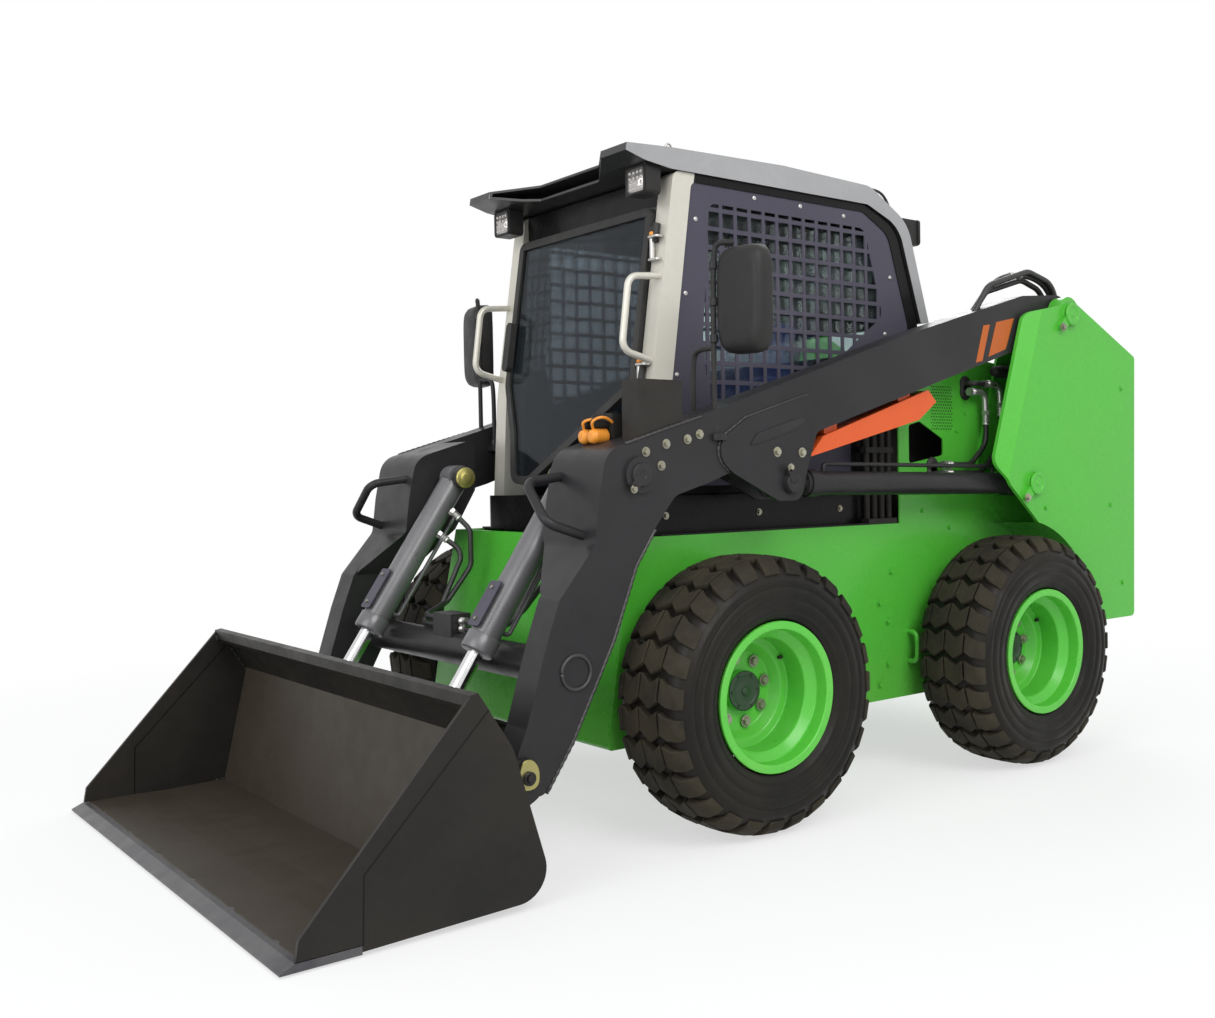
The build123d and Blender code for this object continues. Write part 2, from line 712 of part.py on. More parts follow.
TILT_HOSE_RADIUS = 9.0
MANIFOLD_TOP_Z = 655.0
with BuildPart() as tilt_hoses:
    add(block(1880, 1950, -60, 60, TORSION_CENTRE[1], MANIFOLD_TOP_Z))
    for lift, shift in ((632, 0), (608, 26)):
        for side in (1, -1):
            route = [
                spot(1915, 55 * side, lift),
                spot(1915, (190 + shift) * side, lift),
                spot(1805 + shift, 245 * side, lift + 30),
                spot(1702 + 2 * shift, 258 * side, 780),
                spot(1702 + shift, 258 * side, 905 - 3 * shift),
                spot(1752 + 2 * shift, 305 * side, 975 - 3 * shift),
            ]
            add(tube_along(route, TILT_HOSE_RADIUS, 50))
    add(across(TORSION_CENTRE, TORSION_RADIUS + SEAT_GAP, -100, 100), mode=Mode.SUBTRACT)
save(tilt_hoses, "tilt_hoses")

# --- Cylinders --------------------------------------------------------------------------
cylinder_rows = [
    # name, barrel pivot, rod eye, centre y, tube r, rod r, pin r, eye r, eye width,
    # barrel length, inner end of the rod, side of the feed pipe (+1 over, -1 under the tube)
    ("lift", LIFT_BASE, LIFT_EYE, LIFT_CENTRE_Y, LIFT_TUBE_RADIUS, LIFT_ROD_RADIUS,
     LIFT_PIN_RADIUS, LIFT_EYE_RADIUS, LIFT_EYE_WIDTH, 1080.0, 150.0, 1),
    ("tilt", TILT_BASE, TILT_EYE, TILT_CENTRE_Y, TILT_TUBE_RADIUS, TILT_ROD_RADIUS,
     TILT_PIN_RADIUS, TILT_EYE_RADIUS, TILT_EYE_WIDTH, 610.0, 260.0, -1),
]
GLAND = 50.0
PISTON = 45.0
FEED_PIPE_RADIUS = 7.0


def rod_along(base, tip, y, radius, start, end):
    """A round bar on the line from base to tip, between two distances from base."""
    length = hypot(tip[0] - base[0], tip[1] - base[1])
    way = ((tip[0] - base[0]) / length, (tip[1] - base[1]) / length)
    x, z = at(base[0] + way[0] * start, base[1] + way[1] * start)
    with BuildPart() as bar:
        with BuildSketch(Plane(origin=(x, y, z), z_dir=(way[0], 0, way[1]))):
            Circle(radius)
        extrude(amount=end - start)
    return bar.part


for (name, base, eye, y, tube, rod_r, pin_r, eye_r, eye_w, reach, inner_end, over) in cylinder_rows:
    span = hypot(eye[0] - base[0], eye[1] - base[1])
    way = ((eye[0] - base[0]) / span, (eye[1] - base[1]) / span)
    bore = tube - TUBE_WALL
    with BuildPart() as barrel:
        add(across(base, eye_r, y - eye_w / 2, y + eye_w / 2))
        add(rod_along(base, eye, y, tube, eye_r * 0.6, reach))
        add(rod_along(base, eye, y, tube + 5, reach - GLAND, reach - 8))
        # feed pipe over the tube, from its rear end to the port at the gland
        pipe_rows = [
            # distance from the pivot, height over the tube's axis
            (eye_r + 60, tube - 4),
            (eye_r + 60, tube + 24),
            (reach - 90, tube + 24),
            (reach - 90, tube - 4),
        ]
        pipe_line = [
            spot(base[0] + way[0] * s - way[1] * h * over, y, base[1] + way[1] * s + way[0] * h * over)
            for s, h in pipe_rows
        ]
        add(tube_along(pipe_line, FEED_PIPE_RADIUS, 14))
        add(rod_along(base, eye, y, bore, eye_r + 15, reach - GLAND), mode=Mode.SUBTRACT)
        add(rod_along(base, eye, y, rod_r + RUN_FIT, reach - GLAND - 1, reach + 1), mode=Mode.SUBTRACT)
        add(across(base, pin_r + RUN_FIT, y - eye_w, y + eye_w), mode=Mode.SUBTRACT)
    with BuildPart() as rod:
        add(rod_along(base, eye, y, bore - RUN_FIT, inner_end, inner_end + PISTON))
        add(rod_along(base, eye, y, rod_r, inner_end, span - eye_r * 0.6))
        add(across(eye, eye_r, y - eye_w / 2, y + eye_w / 2))
        add(across(eye, pin_r, y - eye_w / 2 - 2, y + eye_w / 2 + 2))
    for side in ("left", "right"):
        with BuildPart() as half:
            add(barrel.part)
            if side == "right":
                mirror(about=Plane.XZ, mode=Mode.REPLACE)
        save(half, f"{name}_barrel_{side}")
        with BuildPart() as half:
            add(rod.part)
            if side == "right":
                mirror(about=Plane.XZ, mode=Mode.REPLACE)
        save(half, f"{name}_rod_{side}")

# --- Bucket -----------------------------------------------------------------------------
LIP = (2830.0, 8.0)
HEEL = (2125.0, 26.0)
BACK_BEND = (2240.0, 417.0)
BACK_TOP = (2335.0, 564.0)
EDGE_START_X = LIP[0] - EDGE_DEPTH
HALF_BUCKET = BUCKET_WIDTH / 2
side_rows = [
    (LIP[0] - 36, LIP[1] + EDGE_THICKNESS, 0),
    (EDGE_START_X, LIP[1] + EDGE_THICKNESS, 0),
    (EDGE_START_X, LIP[1] + 4, 0),
    (*HEEL, 80),
    (*BACK_BEND, 150),
    (*BACK_TOP, 0),
    (2352, 558, 8),
    (2786, 74, 14),
]
with BuildPart() as bucket_shell:
    with BuildSketch(side_plane(HALF_BUCKET)):
        with BuildLine():
            FilletPolyline(
                at(EDGE_START_X, LIP[1] + 4), at(*HEEL), at(*BACK_BEND), at(*BACK_TOP),
                radius=[80, 150],
            )
            offset(amount=BUCKET_SHEET, side=Side.RIGHT, closed=True)
        make_face()
    extrude(amount=BUCKET_WIDTH)
    for low in (-HALF_BUCKET, HALF_BUCKET - BUCKET_SIDE):
        add(plate(side_rows, low, low + BUCKET_SIDE))
    # folded top rail
    with BuildSketch(side_plane(HALF_BUCKET)):
        with BuildLine():
            Polyline(at(2300, 512), at(2334, 564), at(2356, 560), at(2352, 530), at(2336, 512), close=True)
        make_face()
    extrude(amount=BUCKET_WIDTH)
save(bucket_shell, "bucket_shell")

edge_rows = [
    (EDGE_START_X, LIP[1] - 2, 0),
    (LIP[0], LIP[1] - 2, 0),
    (LIP[0], LIP[1] + 2, 0),
    (LIP[0] - 34, LIP[1] + EDGE_THICKNESS - 2, 0),
    (EDGE_START_X, LIP[1] + EDGE_THICKNESS - 2, 0),
]
with BuildPart() as cutting_edge:
    add(plate(edge_rows, -HALF_BUCKET, HALF_BUCKET))
    add(plate(side_rows, -HALF_BUCKET, HALF_BUCKET, shift=SEAT_GAP), mode=Mode.SUBTRACT)
save(cutting_edge, "cutting_edge")

# --- Coupler ----------------------------------------------------------------------------
COUPLER_PLATE = 14.0
slope = hypot(BACK_BEND[0] - HEEL[0], BACK_BEND[1] - HEEL[1])
back_way = ((BACK_BEND[0] - HEEL[0]) / slope, (BACK_BEND[1] - HEEL[1]) / slope)
back_out = (-back_way[1], back_way[0])


def behind_back(along, off):
    """A point this far up the bucket's back from its heel corner, and this far behind it."""
    return (
        HEEL[0] + back_way[0] * along + back_out[0] * off,
        HEEL[1] + back_way[1] * along + back_out[1] * off,
    )


coupler_plate_rows = [
    (*behind_back(118, SEAT_GAP), 0),
    (*behind_back(358, SEAT_GAP), 0),
    (*behind_back(358, SEAT_GAP + COUPLER_PLATE), 0),
    (*behind_back(118, SEAT_GAP + COUPLER_PLATE), 0),
]
tilt_ear_rows = [
    (TILT_EYE[0] - 50, TILT_EYE[1] + 48, 44),
    (TILT_EYE[0] + 52, TILT_EYE[1] + 48, 30),
    (*behind_back(355, COUPLER_PLATE), 0),
    (*behind_back(220, COUPLER_PLATE), 0),
    (TILT_EYE[0] - 50, TILT_EYE[1] - 50, 44),
]
foot_ear_rows = [
    (FOOT_PIVOT[0] - 50, FOOT_PIVOT[1] + 52, 46),
    (*behind_back(310, COUPLER_PLATE), 0),
    (*behind_back(150, COUPLER_PLATE), 0),
    (FOOT_PIVOT[0] - 50, FOOT_PIVOT[1] - 52, 46),
]
EAR = 14.0
with BuildPart() as coupler_frame:
    add(plate(coupler_plate_rows, -745, 745))
    # windows behind the rods' eyes and between the side members
    for middle, half in ((0, 290), (TILT_CENTRE_Y, 41), (-TILT_CENTRE_Y, 41)):
        add(block(2050, 2300, middle - half, middle + half, 215, 345), mode=Mode.SUBTRACT)
    for low in (TILT_CENTRE_Y - 41 - EAR, TILT_CENTRE_Y + 41):
        add(plate(tilt_ear_rows, low, low + EAR))
        add(plate(tilt_ear_rows, -low - EAR, -low))
    for low in (ARM_INNER_Y - 6 - EAR, ARM_OUTER_Y + 6):
        add(plate(foot_ear_rows, low, low + EAR))
        add(plate(foot_ear_rows, -low - EAR, -low))
    pin = across(FOOT_PIVOT, FOOT_PIN_RADIUS, ARM_INNER_Y - 26, ARM_OUTER_Y + 26)
    add(pin)
    add(mirror(pin, about=Plane.XZ))
save(coupler_frame, "coupler_frame")

# --- Cab frame --------------------------------------------------------------------------
cab_outer_rows = [
    (1480, SILL_TOP_Z + SEAT_GAP, 0),
    (1460, 1366, 300),
    (1362, 2045, 30),
    (490, 2045, 60),
    (330, 1975, 120),
    (215, 1640, 120),
    (205, 1440, 20),
    (520, 1415, 20),
    (520, SILL_TOP_Z + SEAT_GAP, 0),
]
screen_rows = [
    (1395, 1045, 12),
    (1381, 1366, 300),
    (1290, 2018, 24),
    (500, 2018, 50),
    (370, 1950, 90),
    (266, 1627, 90),
    (262, 1492, 20),
    (575, 1467, 20),
    (575, 1045, 12),
]
post_front_rows = [
    # the front posts are what lies ahead of this line
    (1388, 1000, 0),
    (1374, 1366, 300),
    (1276, 2046, 0),
    (1700, 2046, 0),
    (1700, 1000, 0),
]
POST_INNER_Y = CAB_HALF_WIDTH - POST_WIDTH
with BuildPart() as cab_posts:
    add(plate(cab_outer_rows, POST_INNER_Y, CAB_HALF_WIDTH))
    add(plate(screen_rows, POST_INNER_Y - 1, CAB_HALF_WIDTH + 1), mode=Mode.SUBTRACT)
    add(plate(post_front_rows, POST_INNER_Y - 1, CAB_HALF_WIDTH + 1), mode=Mode.INTERSECT)
    mirror(about=Plane.XZ)
save(cab_posts, "cab_posts")

with BuildPart() as cab_frame:
    add(plate(cab_outer_rows, POST_INNER_Y, CAB_HALF_WIDTH))
    add(plate(screen_rows, POST_INNER_Y - 1, CAB_HALF_WIDTH + 1), mode=Mode.SUBTRACT)
    add(plate(post_front_rows, POST_INNER_Y - 1, CAB_HALF_WIDTH + 1), mode=Mode.SUBTRACT)
    mirror(about=Plane.XZ)
    # header over the door, header and sill of the rear window, and the bulkhead under it
    add(block(1215, 1352, -POST_INNER_Y, POST_INNER_Y, 2022, 2040))
    add(block(1336, 1352, -POST_INNER_Y, POST_INNER_Y, 1950, 2040))
    add(block(480, 530, -POST_INNER_Y, POST_INNER_Y, 1985, 2040))
    add(block(207, 262, -POST_INNER_Y, POST_INNER_Y, 1445, 1540))
    add(block(262, 520, -POST_INNER_Y, POST_INNER_Y, 1420, 1440))
    add(block(522, 534, -POST_INNER_Y, POST_INNER_Y, SILL_TOP_Z + SEAT_GAP, 1440))
save(cab_frame, "cab_frame")

# --- Roof with its hooded visor ---------------------------------------------------------
roof_rows = [
    (1380, 2045 + SEAT_GAP, 0),
    (1480, 2058, 60),
    (1552, 2078, 0),
    (1548, 2102, 0),
    (1385, 2112, 200),
    (900, 2124, 400),
    (470, 2112, 120),
    (272, 2000, 150),
    (160, 1640, 0),
    (205, 1636, 0),
    (320, 1982, 130),
    (486, 2045 + SEAT_GAP, 60),
]
ROOF_HALF_WIDTH = CAB_HALF_WIDTH + 10
with BuildPart() as cab_roof:
    add(plate(roof_rows, -ROOF_HALF_WIDTH, ROOF_HALF_WIDTH))
    add(plate(roof_rows, -ROOF_HALF_WIDTH + 8, ROOF_HALF_WIDTH - 8, shift=-8), mode=Mode.SUBTRACT)
    add(plate(cab_outer_rows, -CAB_HALF_WIDTH, CAB_HALF_WIDTH, shift=SEAT_GAP), mode=Mode.SUBTRACT)
    # the visor is cut back between its two hoods
    with BuildSketch(Plane.XY.offset(2000)):
        with BuildLine():
            Polyline(
                at(1600, -350), at(1548, -350), at(1440, -180), at(1440, 180),
                at(1548, 350), at(1600, 350), close=True,
            )
        make_face()
    extrude(amount=200, mode=Mode.SUBTRACT)
save(cab_roof, "cab_roof")

# --- Side screens and glass -------------------------------------------------------------
SCREEN_OUT_Y = CAB_HALF_WIDTH - 4
GLASS = 5.0
GLASS_Y = CAB_HALF_WIDTH - 28
grille_rows = [
    (1215, 1960, 30),
    (490, 1960, 40),
    (400, 1650, 40),
    (585, 1515, 40),
    (1215, 1250, 40),
    (1250, 1500, 200),
]
PITCH = 62.0                 # of the screens' square holes
BAR = 14.0
with BuildPart() as cab_screens:
    add(plate(screen_rows, SCREEN_OUT_Y - CAB_SHEET, SCREEN_OUT_Y, shift=-SEAT_GAP))
    holes = profile(grille_rows)
    with BuildSketch(side_plane(SCREEN_OUT_Y)) as opening:
        with Locations(at(825, 1600)):
            with GridLocations(PITCH, PITCH, 15, 13):
                Rectangle(PITCH - BAR, PITCH - BAR)
        add(holes, mode=Mode.INTERSECT)
    extrude(amount=CAB_SHEET, mode=Mode.SUBTRACT)
    mirror(about=Plane.XZ)
save(cab_screens, "cab_screens")

rear_glass_rows = [
    (232, 1542, 0),
    (250, 1630, 200),
    (352, 1950, 0),
    (346, 1952, 0),
    (244, 1632, 200),
    (226, 1542, 0),
]
with BuildPart() as cab_glass:
    add(plate(screen_rows, GLASS_Y, GLASS_Y + GLASS, shift=-SEAT_GAP))
    mirror(about=Plane.XZ)
    add(plate(rear_glass_rows, -POST_INNER_Y + SEAT_GAP, POST_INNER_Y - SEAT_GAP))
save(cab_glass, "cab_glass")

# --- Cab floor, footwell and sills ------------------------------------------------------
WELL_HALF_WIDTH = CAB_HALF_WIDTH - 80
SILL_HALF_WIDTH = CAB_HALF_WIDTH + 20
WELL_FLOOR_Z = 560.0
WELL_WALL = 5.0
SEAT_DECK_Z = 720.0
SILL_FRONT_X = 1500.0
well_rows_cab = [
    (525, SILL_TOP_Z - 2, 0),
    (525, SEAT_DECK_Z, 20),
    (910, SEAT_DECK_Z, 20),
    (950, WELL_FLOOR_Z, 40),
    (1440, WELL_FLOOR_Z, 60),
    (1488, 700, 60),
    (1494, SILL_TOP_Z - 2, 0),
]
with BuildPart() as cab_floor:
    add(
        block(500, SILL_FRONT_X, -SILL_HALF_WIDTH, SILL_HALF_WIDTH,
              SILL_BOTTOM_Z + SEAT_GAP, SILL_TOP_Z)
    )
    fillet(cab_floor.edges().filter_by(Axis.Z).group_by(Axis.X)[-1], 30)
    add(
        block(506, 1490, -SILL_HALF_WIDTH + 6, SILL_HALF_WIDTH - 6, SILL_BOTTOM_Z, SILL_TOP_Z - 6),
        mode=Mode.SUBTRACT,
    )
    add(plate(well_rows_cab, -WELL_HALF_WIDTH, WELL_HALF_WIDTH))
    add(
        plate(
            well_rows_cab, -WELL_HALF_WIDTH + WELL_WALL, WELL_HALF_WIDTH - WELL_WALL,
            shift=-WELL_WALL,
        ),
        mode=Mode.SUBTRACT,
    )
    add(
        block(540, 1480, -WELL_HALF_WIDTH + WELL_WALL, WELL_HALF_WIDTH - WELL_WALL,
              SILL_BOTTOM_Z, SILL_TOP_Z + 1),
        mode=Mode.SUBTRACT,
    )
    # flanges that rest on the frame's side walls
    for side in (1, -1):
        low, high = sorted((side * (SILL_HALF_WIDTH - 6), side * (FRAME_HALF_WIDTH - 4)))
        add(block(575, 1490, low, high, FRAME_TOP_Z + SEAT_GAP, FRAME_TOP_Z + 6))
save(cab_floor, "cab_floor")

# --- Seat -------------------------------------------------------------------------------
SEAT_X = 830.0               # middle of the cushion
SEAT_Z = 1120.0              # underside of the cushion
with BuildPart() as seat_base:
    add(block(SEAT_X - 200, SEAT_X + 60, -190, 190, SEAT_DECK_Z + WELL_WALL, SEAT_Z - 30))
    fillet(seat_base.edges().filter_by(Axis.Z), 30)
    add(block(SEAT_X - 230, SEAT_X + 220, -225, 225, SEAT_Z - 30, SEAT_Z - SEAT_GAP))
save(seat_base, "seat_base")

cushion_rows = [
    (SEAT_X - 230, SEAT_Z, 20),
    (SEAT_X + 240, SEAT_Z, 30),
    (SEAT_X + 250, SEAT_Z + 110, 40),
    (SEAT_X - 110, SEAT_Z + 90, 40),
    (SEAT_X - 190, SEAT_Z + 560, 40),
    (SEAT_X - 285, SEAT_Z + 550, 40),
    (SEAT_X - 250, SEAT_Z + 90, 40),
]
with BuildPart() as seat_cushion:
    add(plate(cushion_rows, -235, 235))
    fillet(seat_cushion.edges().filter_by(Axis.Y, reverse=True).group_by(Axis.Y)[0], 25)
    fillet(seat_cushion.edges().filter_by(Axis.Y, reverse=True).group_by(Axis.Y)[-1], 25)
save(seat_cushion, "seat_cushion")

# --- Consoles with the two levers -------------------------------------------------------
CONSOLE_Y = CAB_HALF_WIDTH - 152   # centre plane of the levers
console_rows = [
    (700, SILL_TOP_Z + SEAT_GAP, 0),
    (1180, SILL_TOP_Z + SEAT_GAP, 20),
    (1190, 1230, 40),
    (900, 1290, 40),
    (700, 1270, 40),
]
with BuildPart() as control_consoles:
    add(plate(console_rows, CONSOLE_Y - 43, POST_INNER_Y - MOVE_GAP))
    with BuildSketch(Plane(origin=spot(1110, CONSOLE_Y, 1235), z_dir=(0.12, 0, 1))):
        Circle(16)
    extrude(amount=110)
    with BuildSketch(Plane(origin=spot(1120, CONSOLE_Y, 1330), z_dir=(0.12, 0, 1))):
        Ellipse(24, 20)
    extrude(amount=80, taper=6)
    mirror(about=Plane.XZ)
save(control_consoles, "control_consoles")

# --- Top cover and rear frame -----------------------------------------------------------
PANEL_INNER_Y = FRAME_HALF_WIDTH - PANEL_WALL
cover_rows = [
    (198, 1390, 0),
    (198, 1440, 30),
    (-100, 1496, 40),
    (-670, 1434, 60),
    (-712, 1400, 20),
    (-712, 1388, 0),
]
with BuildPart() as top_cover:
    add(plate(cover_rows, -PANEL_INNER_Y + SEAT_GAP, PANEL_INNER_Y - SEAT_GAP))
    add(plate(cover_rows, -PANEL_INNER_Y + 8, PANEL_INNER_Y - 8, shift=-6), mode=Mode.SUBTRACT)
    add(block(-700, 190, -PANEL_INNER_Y + 8, PANEL_INNER_Y - 8, 1380, 1400), mode=Mode.SUBTRACT)
save(top_cover, "top_cover")

REAR_X = -722.0
PANEL_HALF = FRAME_HALF_WIDTH - SEAT_GAP
DOOR_HALF_WIDTH = 430.0
DOOR_LOW_Z = 600.0
DOOR_HIGH_Z = 1345.0
with BuildPart() as rear_frame:
    # frame round the rear door, between the towers, with the bumper below it
    add(block(REAR_X, REAR_X + 8, -PANEL_HALF, PANEL_HALF, 482, 1385))
    add(
        block(REAR_X - 1, REAR_X + 10, -DOOR_HALF_WIDTH + 20, DOOR_HALF_WIDTH - 20,
              DOOR_LOW_Z + 20, DOOR_HIGH_Z - 20),
        mode=Mode.SUBTRACT,
    )
    add(block(REAR_X - 34, REAR_X, -PANEL_HALF, PANEL_HALF, 482, 580))
    with Locations((REAR_AXLE_X + REAR_X - 13, 0, 531)):
        with GridLocations(1, 900, 1, 2):
            Cylinder(20, 200, rotation=(0, 90, 0), mode=Mode.SUBTRACT)
save(rear_frame, "rear_frame")

with BuildPart() as tail_lamps:
    add(block(REAR_X - 26, REAR_X - SEAT_GAP, 472, 545, 1180, 1300))
    fillet(tail_lamps.edges().filter_by(Axis.X), 12)
    mirror(about=Plane.XZ)
save(tail_lamps, "tail_lamps")

# rear door, hinged on its right edge
DOOR_DEPTH = 34.0
REAR_DOOR_GAP = 0.8          # to the frame round it
RD_HINGE = (REAR_X - 22.0, -DOOR_HALF_WIDTH - 14.0)
with BuildPart() as rear_door:
    add(
        block(
            REAR_X - DOOR_DEPTH, REAR_X - REAR_DOOR_GAP, -DOOR_HALF_WIDTH, DOOR_HALF_WIDTH,
            DOOR_LOW_Z, DOOR_HIGH_Z,
        )
    )
    fillet(rear_door.edges().filter_by(Axis.X), 30)
    chamfer(rear_door.faces().sort_by(Axis.X)[0].edges(), 8)
    add(
        block(REAR_X - DOOR_DEPTH + 4, REAR_X, -DOOR_HALF_WIDTH + 14, DOOR_HALF_WIDTH - 14,
              DOOR_LOW_Z + 14, DOOR_HIGH_Z - 14),
        mode=Mode.SUBTRACT,
    )
    with BuildSketch(Plane.YZ.offset(REAR_AXLE_X + REAR_X - DOOR_DEPTH)):
        with Locations((0, 1090)):
            with GridLocations(1, 46, 1, 9):
                SlotOverall(640, 18)
    extrude(amount=DOOR_DEPTH, mode=Mode.SUBTRACT)
    for z in (760, 1180):
        add(block(RD_HINGE[0] - 8, RD_HINGE[0] + 8, RD_HINGE[1], -DOOR_HALF_WIDTH + 30, z, z + 60))
        with Locations((REAR_AXLE_X + RD_HINGE[0], RD_HINGE[1], z + 30)):
            Cylinder(11, 60)
save(rear_door, "rear_door")

# --- Front door -------------------------------------------------------------------------
DOOR_LEAN = atan2(98.0, 669.0)
DOOR_EDGE_Y = CAB_HALF_WIDTH - 76
DOOR_TOP = 950.0             # up the leaning door, clear of the lamps as it swings
door_plane = Plane(
    origin=spot(1530, 0, 1000),
    x_dir=(0, 1, 0),
    z_dir=(cos(DOOR_LEAN), 0, sin(DOOR_LEAN)),
)
door_outline = [
    # y, distance up the leaning door, corner radius
    (DOOR_EDGE_Y, DOOR_TOP, 30),
    (DOOR_EDGE_Y, 370, 60),
    (-170, 60, 80),
    (-290, 60, 60),
    (-330, 240, 100),
    (-DOOR_EDGE_Y, 420, 100),
    (-DOOR_EDGE_Y, DOOR_TOP, 30),
]


def door_face(shift=0.0):
    """The front door's outline in its own plane, grown by shift."""
    with BuildSketch() as face:
        with BuildLine():
            FilletPolyline(
                *[(y, up) for y, up, _ in door_outline],
                radius=[r for _, _, r in door_outline],
                close=True,
            )
        make_face()
        if shift:
            offset(amount=shift, kind=Kind.INTERSECTION)
    return face.sketch


DOOR_FRAME = 28.0
DOOR_GLASS = 6.0
DOOR_FRAME_DEPTH = 22.0
HINGE_Y = CAB_HALF_WIDTH - 44
HINGE_LEAF = 40.0
with BuildPart() as cab_door_frame:
    with BuildSketch(door_plane):
        add(door_face())
        add(door_face(-DOOR_FRAME), mode=Mode.SUBTRACT)
    extrude(amount=-DOOR_FRAME_DEPTH)
    for up in (400, 860):
        with BuildSketch(door_plane.offset(-10)):
            with Locations((HINGE_Y - HINGE_LEAF / 2, up)):
                Rectangle(HINGE_LEAF, 44)
        extrude(amount=12)
        hinge = Plane(
            origin=door_plane.from_local_coords((HINGE_Y, up - 30, -4)),
            z_dir=door_plane.y_dir,
        )
        with BuildSketch(hinge):
            Circle(11)
        extrude(amount=60)
    # the latch's handle
    with BuildSketch(door_plane):
        with Locations((22 - DOOR_EDGE_Y, 560)):
            SlotOverall(180, 38, rotation=90)
    extrude(amount=24)
save(cab_door_frame, "cab_door_frame")

with BuildPart() as cab_door_glass:
    with BuildSketch(door_plane.offset(-8)):
        add(door_face(-DOOR_FRAME - SEAT_GAP))
    extrude(amount=-DOOR_GLASS)
save(cab_door_glass, "cab_door_glass")

# --- Lamps, beacon, rails and mirrors ---------------------------------------------------
with BuildPart() as work_lamps:
    add(block(1405, 1462, CAB_HALF_WIDTH - 120, CAB_HALF_WIDTH - 10, 1965, 2060))
    fillet(work_lamps.edges().filter_by(Axis.X), 14)
    # lamps on the back of the roof
    add(block(170, 270, CAB_HALF_WIDTH - 120, CAB_HALF_WIDTH - 30, 1935, 2030))
    add(plate(roof_rows, -ROOF_HALF_WIDTH, ROOF_HALF_WIDTH), mode=Mode.SUBTRACT)
    add(
        block(255, 400, CAB_HALF_WIDTH - 130, CAB_HALF_WIDTH - 20, 1900, 2060),
        mode=Mode.SUBTRACT,
    )
    mirror(about=Plane.XZ)
save(work_lamps, "work_lamps")

with BuildPart() as beacon:
    with BuildSketch(Plane(origin=spot(1080, 250, 2130))):
        Circle(48)
    extrude(amount=-14)
    with BuildSketch(Plane(origin=spot(1080, 250, 2130))):
        Circle(42)
    extrude(amount=26, taper=8)
    add(cab_roof.part, mode=Mode.SUBTRACT)
save(beacon, "beacon")

RAIL_Y = CAB_HALF_WIDTH - 18
with BuildPart() as grab_rails:
    add(
        tube_along(
            [
                spot(1440, RAIL_Y, 1440), spot(1560, RAIL_Y, 1470),
                spot(1530, RAIL_Y, 1700), spot(1390, RAIL_Y, 1712),
            ],
            11, 40,
        )
    )
    add(plate(cab_outer_rows, POST_INNER_Y, CAB_HALF_WIDTH), mode=Mode.SUBTRACT)
    mirror(about=Plane.XZ)
save(grab_rails, "grab_rails")

with BuildPart() as mirrors:
    add(block(1290, 1330, 760, 900, 1460, 1780))
    fillet(mirrors.edges(), 14)
    for x in (1300, 1318):
        add(
            tube_along(
                [spot(x + 130, 745, 1205), spot(x + 130, 745, 1420), spot(x + 8, 812, 1520),
                 spot(x + 8, 812, 1600)],
                7, 30,
            )
        )
    add(block(1415, 1465, ARM_OUTER_Y + SEAT_GAP, ARM_OUTER_Y + 24, 1185, 1225))
    mirror(about=Plane.XZ)
save(mirrors, "mirrors")

with BuildPart() as hydraulic_block:
    add(block(1530, 1690, 640, 720, 1180, 1360))
    add(plate(arm_rows, ARM_INNER_Y - 10, ARM_OUTER_Y + 10), mode=Mode.SUBTRACT)
    # auxiliary coupler block on the left knee, with its two stubs
    add(block(1600, 1690, 490, 590, 1180, 1268))
    for y in (516, 564):
        with Locations((REAR_AXLE_X + 1690, y, 1238)):
            Cylinder(15, 50, rotation=(0, 90, 0), align=(Align.CENTER, Align.CENTER, Align.MIN))
    add(plate(knee_rows, KNEE_INNER_Y - 1, ARM_INNER_Y + 1, shift=SEAT_GAP), mode=Mode.SUBTRACT)
save(hydraulic_block, "hydraulic_block")
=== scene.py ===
import math
import random
from math import cos, pi, radians, sin

import bmesh
import bpy
from mathutils import Matrix, Vector


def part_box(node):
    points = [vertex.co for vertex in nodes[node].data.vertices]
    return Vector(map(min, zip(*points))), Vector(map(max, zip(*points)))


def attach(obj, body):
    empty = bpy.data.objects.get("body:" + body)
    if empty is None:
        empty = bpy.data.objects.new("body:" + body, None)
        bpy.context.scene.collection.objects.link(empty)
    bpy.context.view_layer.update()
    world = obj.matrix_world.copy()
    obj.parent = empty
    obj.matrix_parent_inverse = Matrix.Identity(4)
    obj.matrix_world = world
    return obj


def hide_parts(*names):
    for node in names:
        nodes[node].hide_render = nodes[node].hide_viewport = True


# Skid steer loader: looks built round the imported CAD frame.  Metres; X ahead, Y left, Z up.
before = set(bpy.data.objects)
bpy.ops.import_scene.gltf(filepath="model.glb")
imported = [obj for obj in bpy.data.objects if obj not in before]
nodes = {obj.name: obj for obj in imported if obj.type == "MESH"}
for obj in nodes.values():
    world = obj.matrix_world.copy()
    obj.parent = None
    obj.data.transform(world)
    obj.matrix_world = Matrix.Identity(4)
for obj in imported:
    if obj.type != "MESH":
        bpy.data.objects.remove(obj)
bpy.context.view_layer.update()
scene = bpy.context.scene
rng = random.Random(7)
REAR_AXLE = -1.04


# --- Node helpers
def new_tree(owner):
    owner.use_nodes = True
    owner.node_tree.nodes.clear()
    return owner.node_tree


def node(tree, kind, **settings):
    """A new node; in_NAME or in_NUMBER sets or links a socket, any other key sets a property."""
    made = tree.nodes.new(kind)
    for key, value in settings.items():
        if not key.startswith("in_"):
            setattr(made, key, value)
            continue
        key = key[3:]
        socket = made.inputs[int(key) if key.isdigit() else key.replace("_", " ")]
        if isinstance(value, bpy.types.NodeSocket):
            tree.links.new(value, socket)
        else:
            socket.default_value = value
    return made


def coords(tree, output="Object"):
    return node(tree, "ShaderNodeTexCoord").outputs[output]


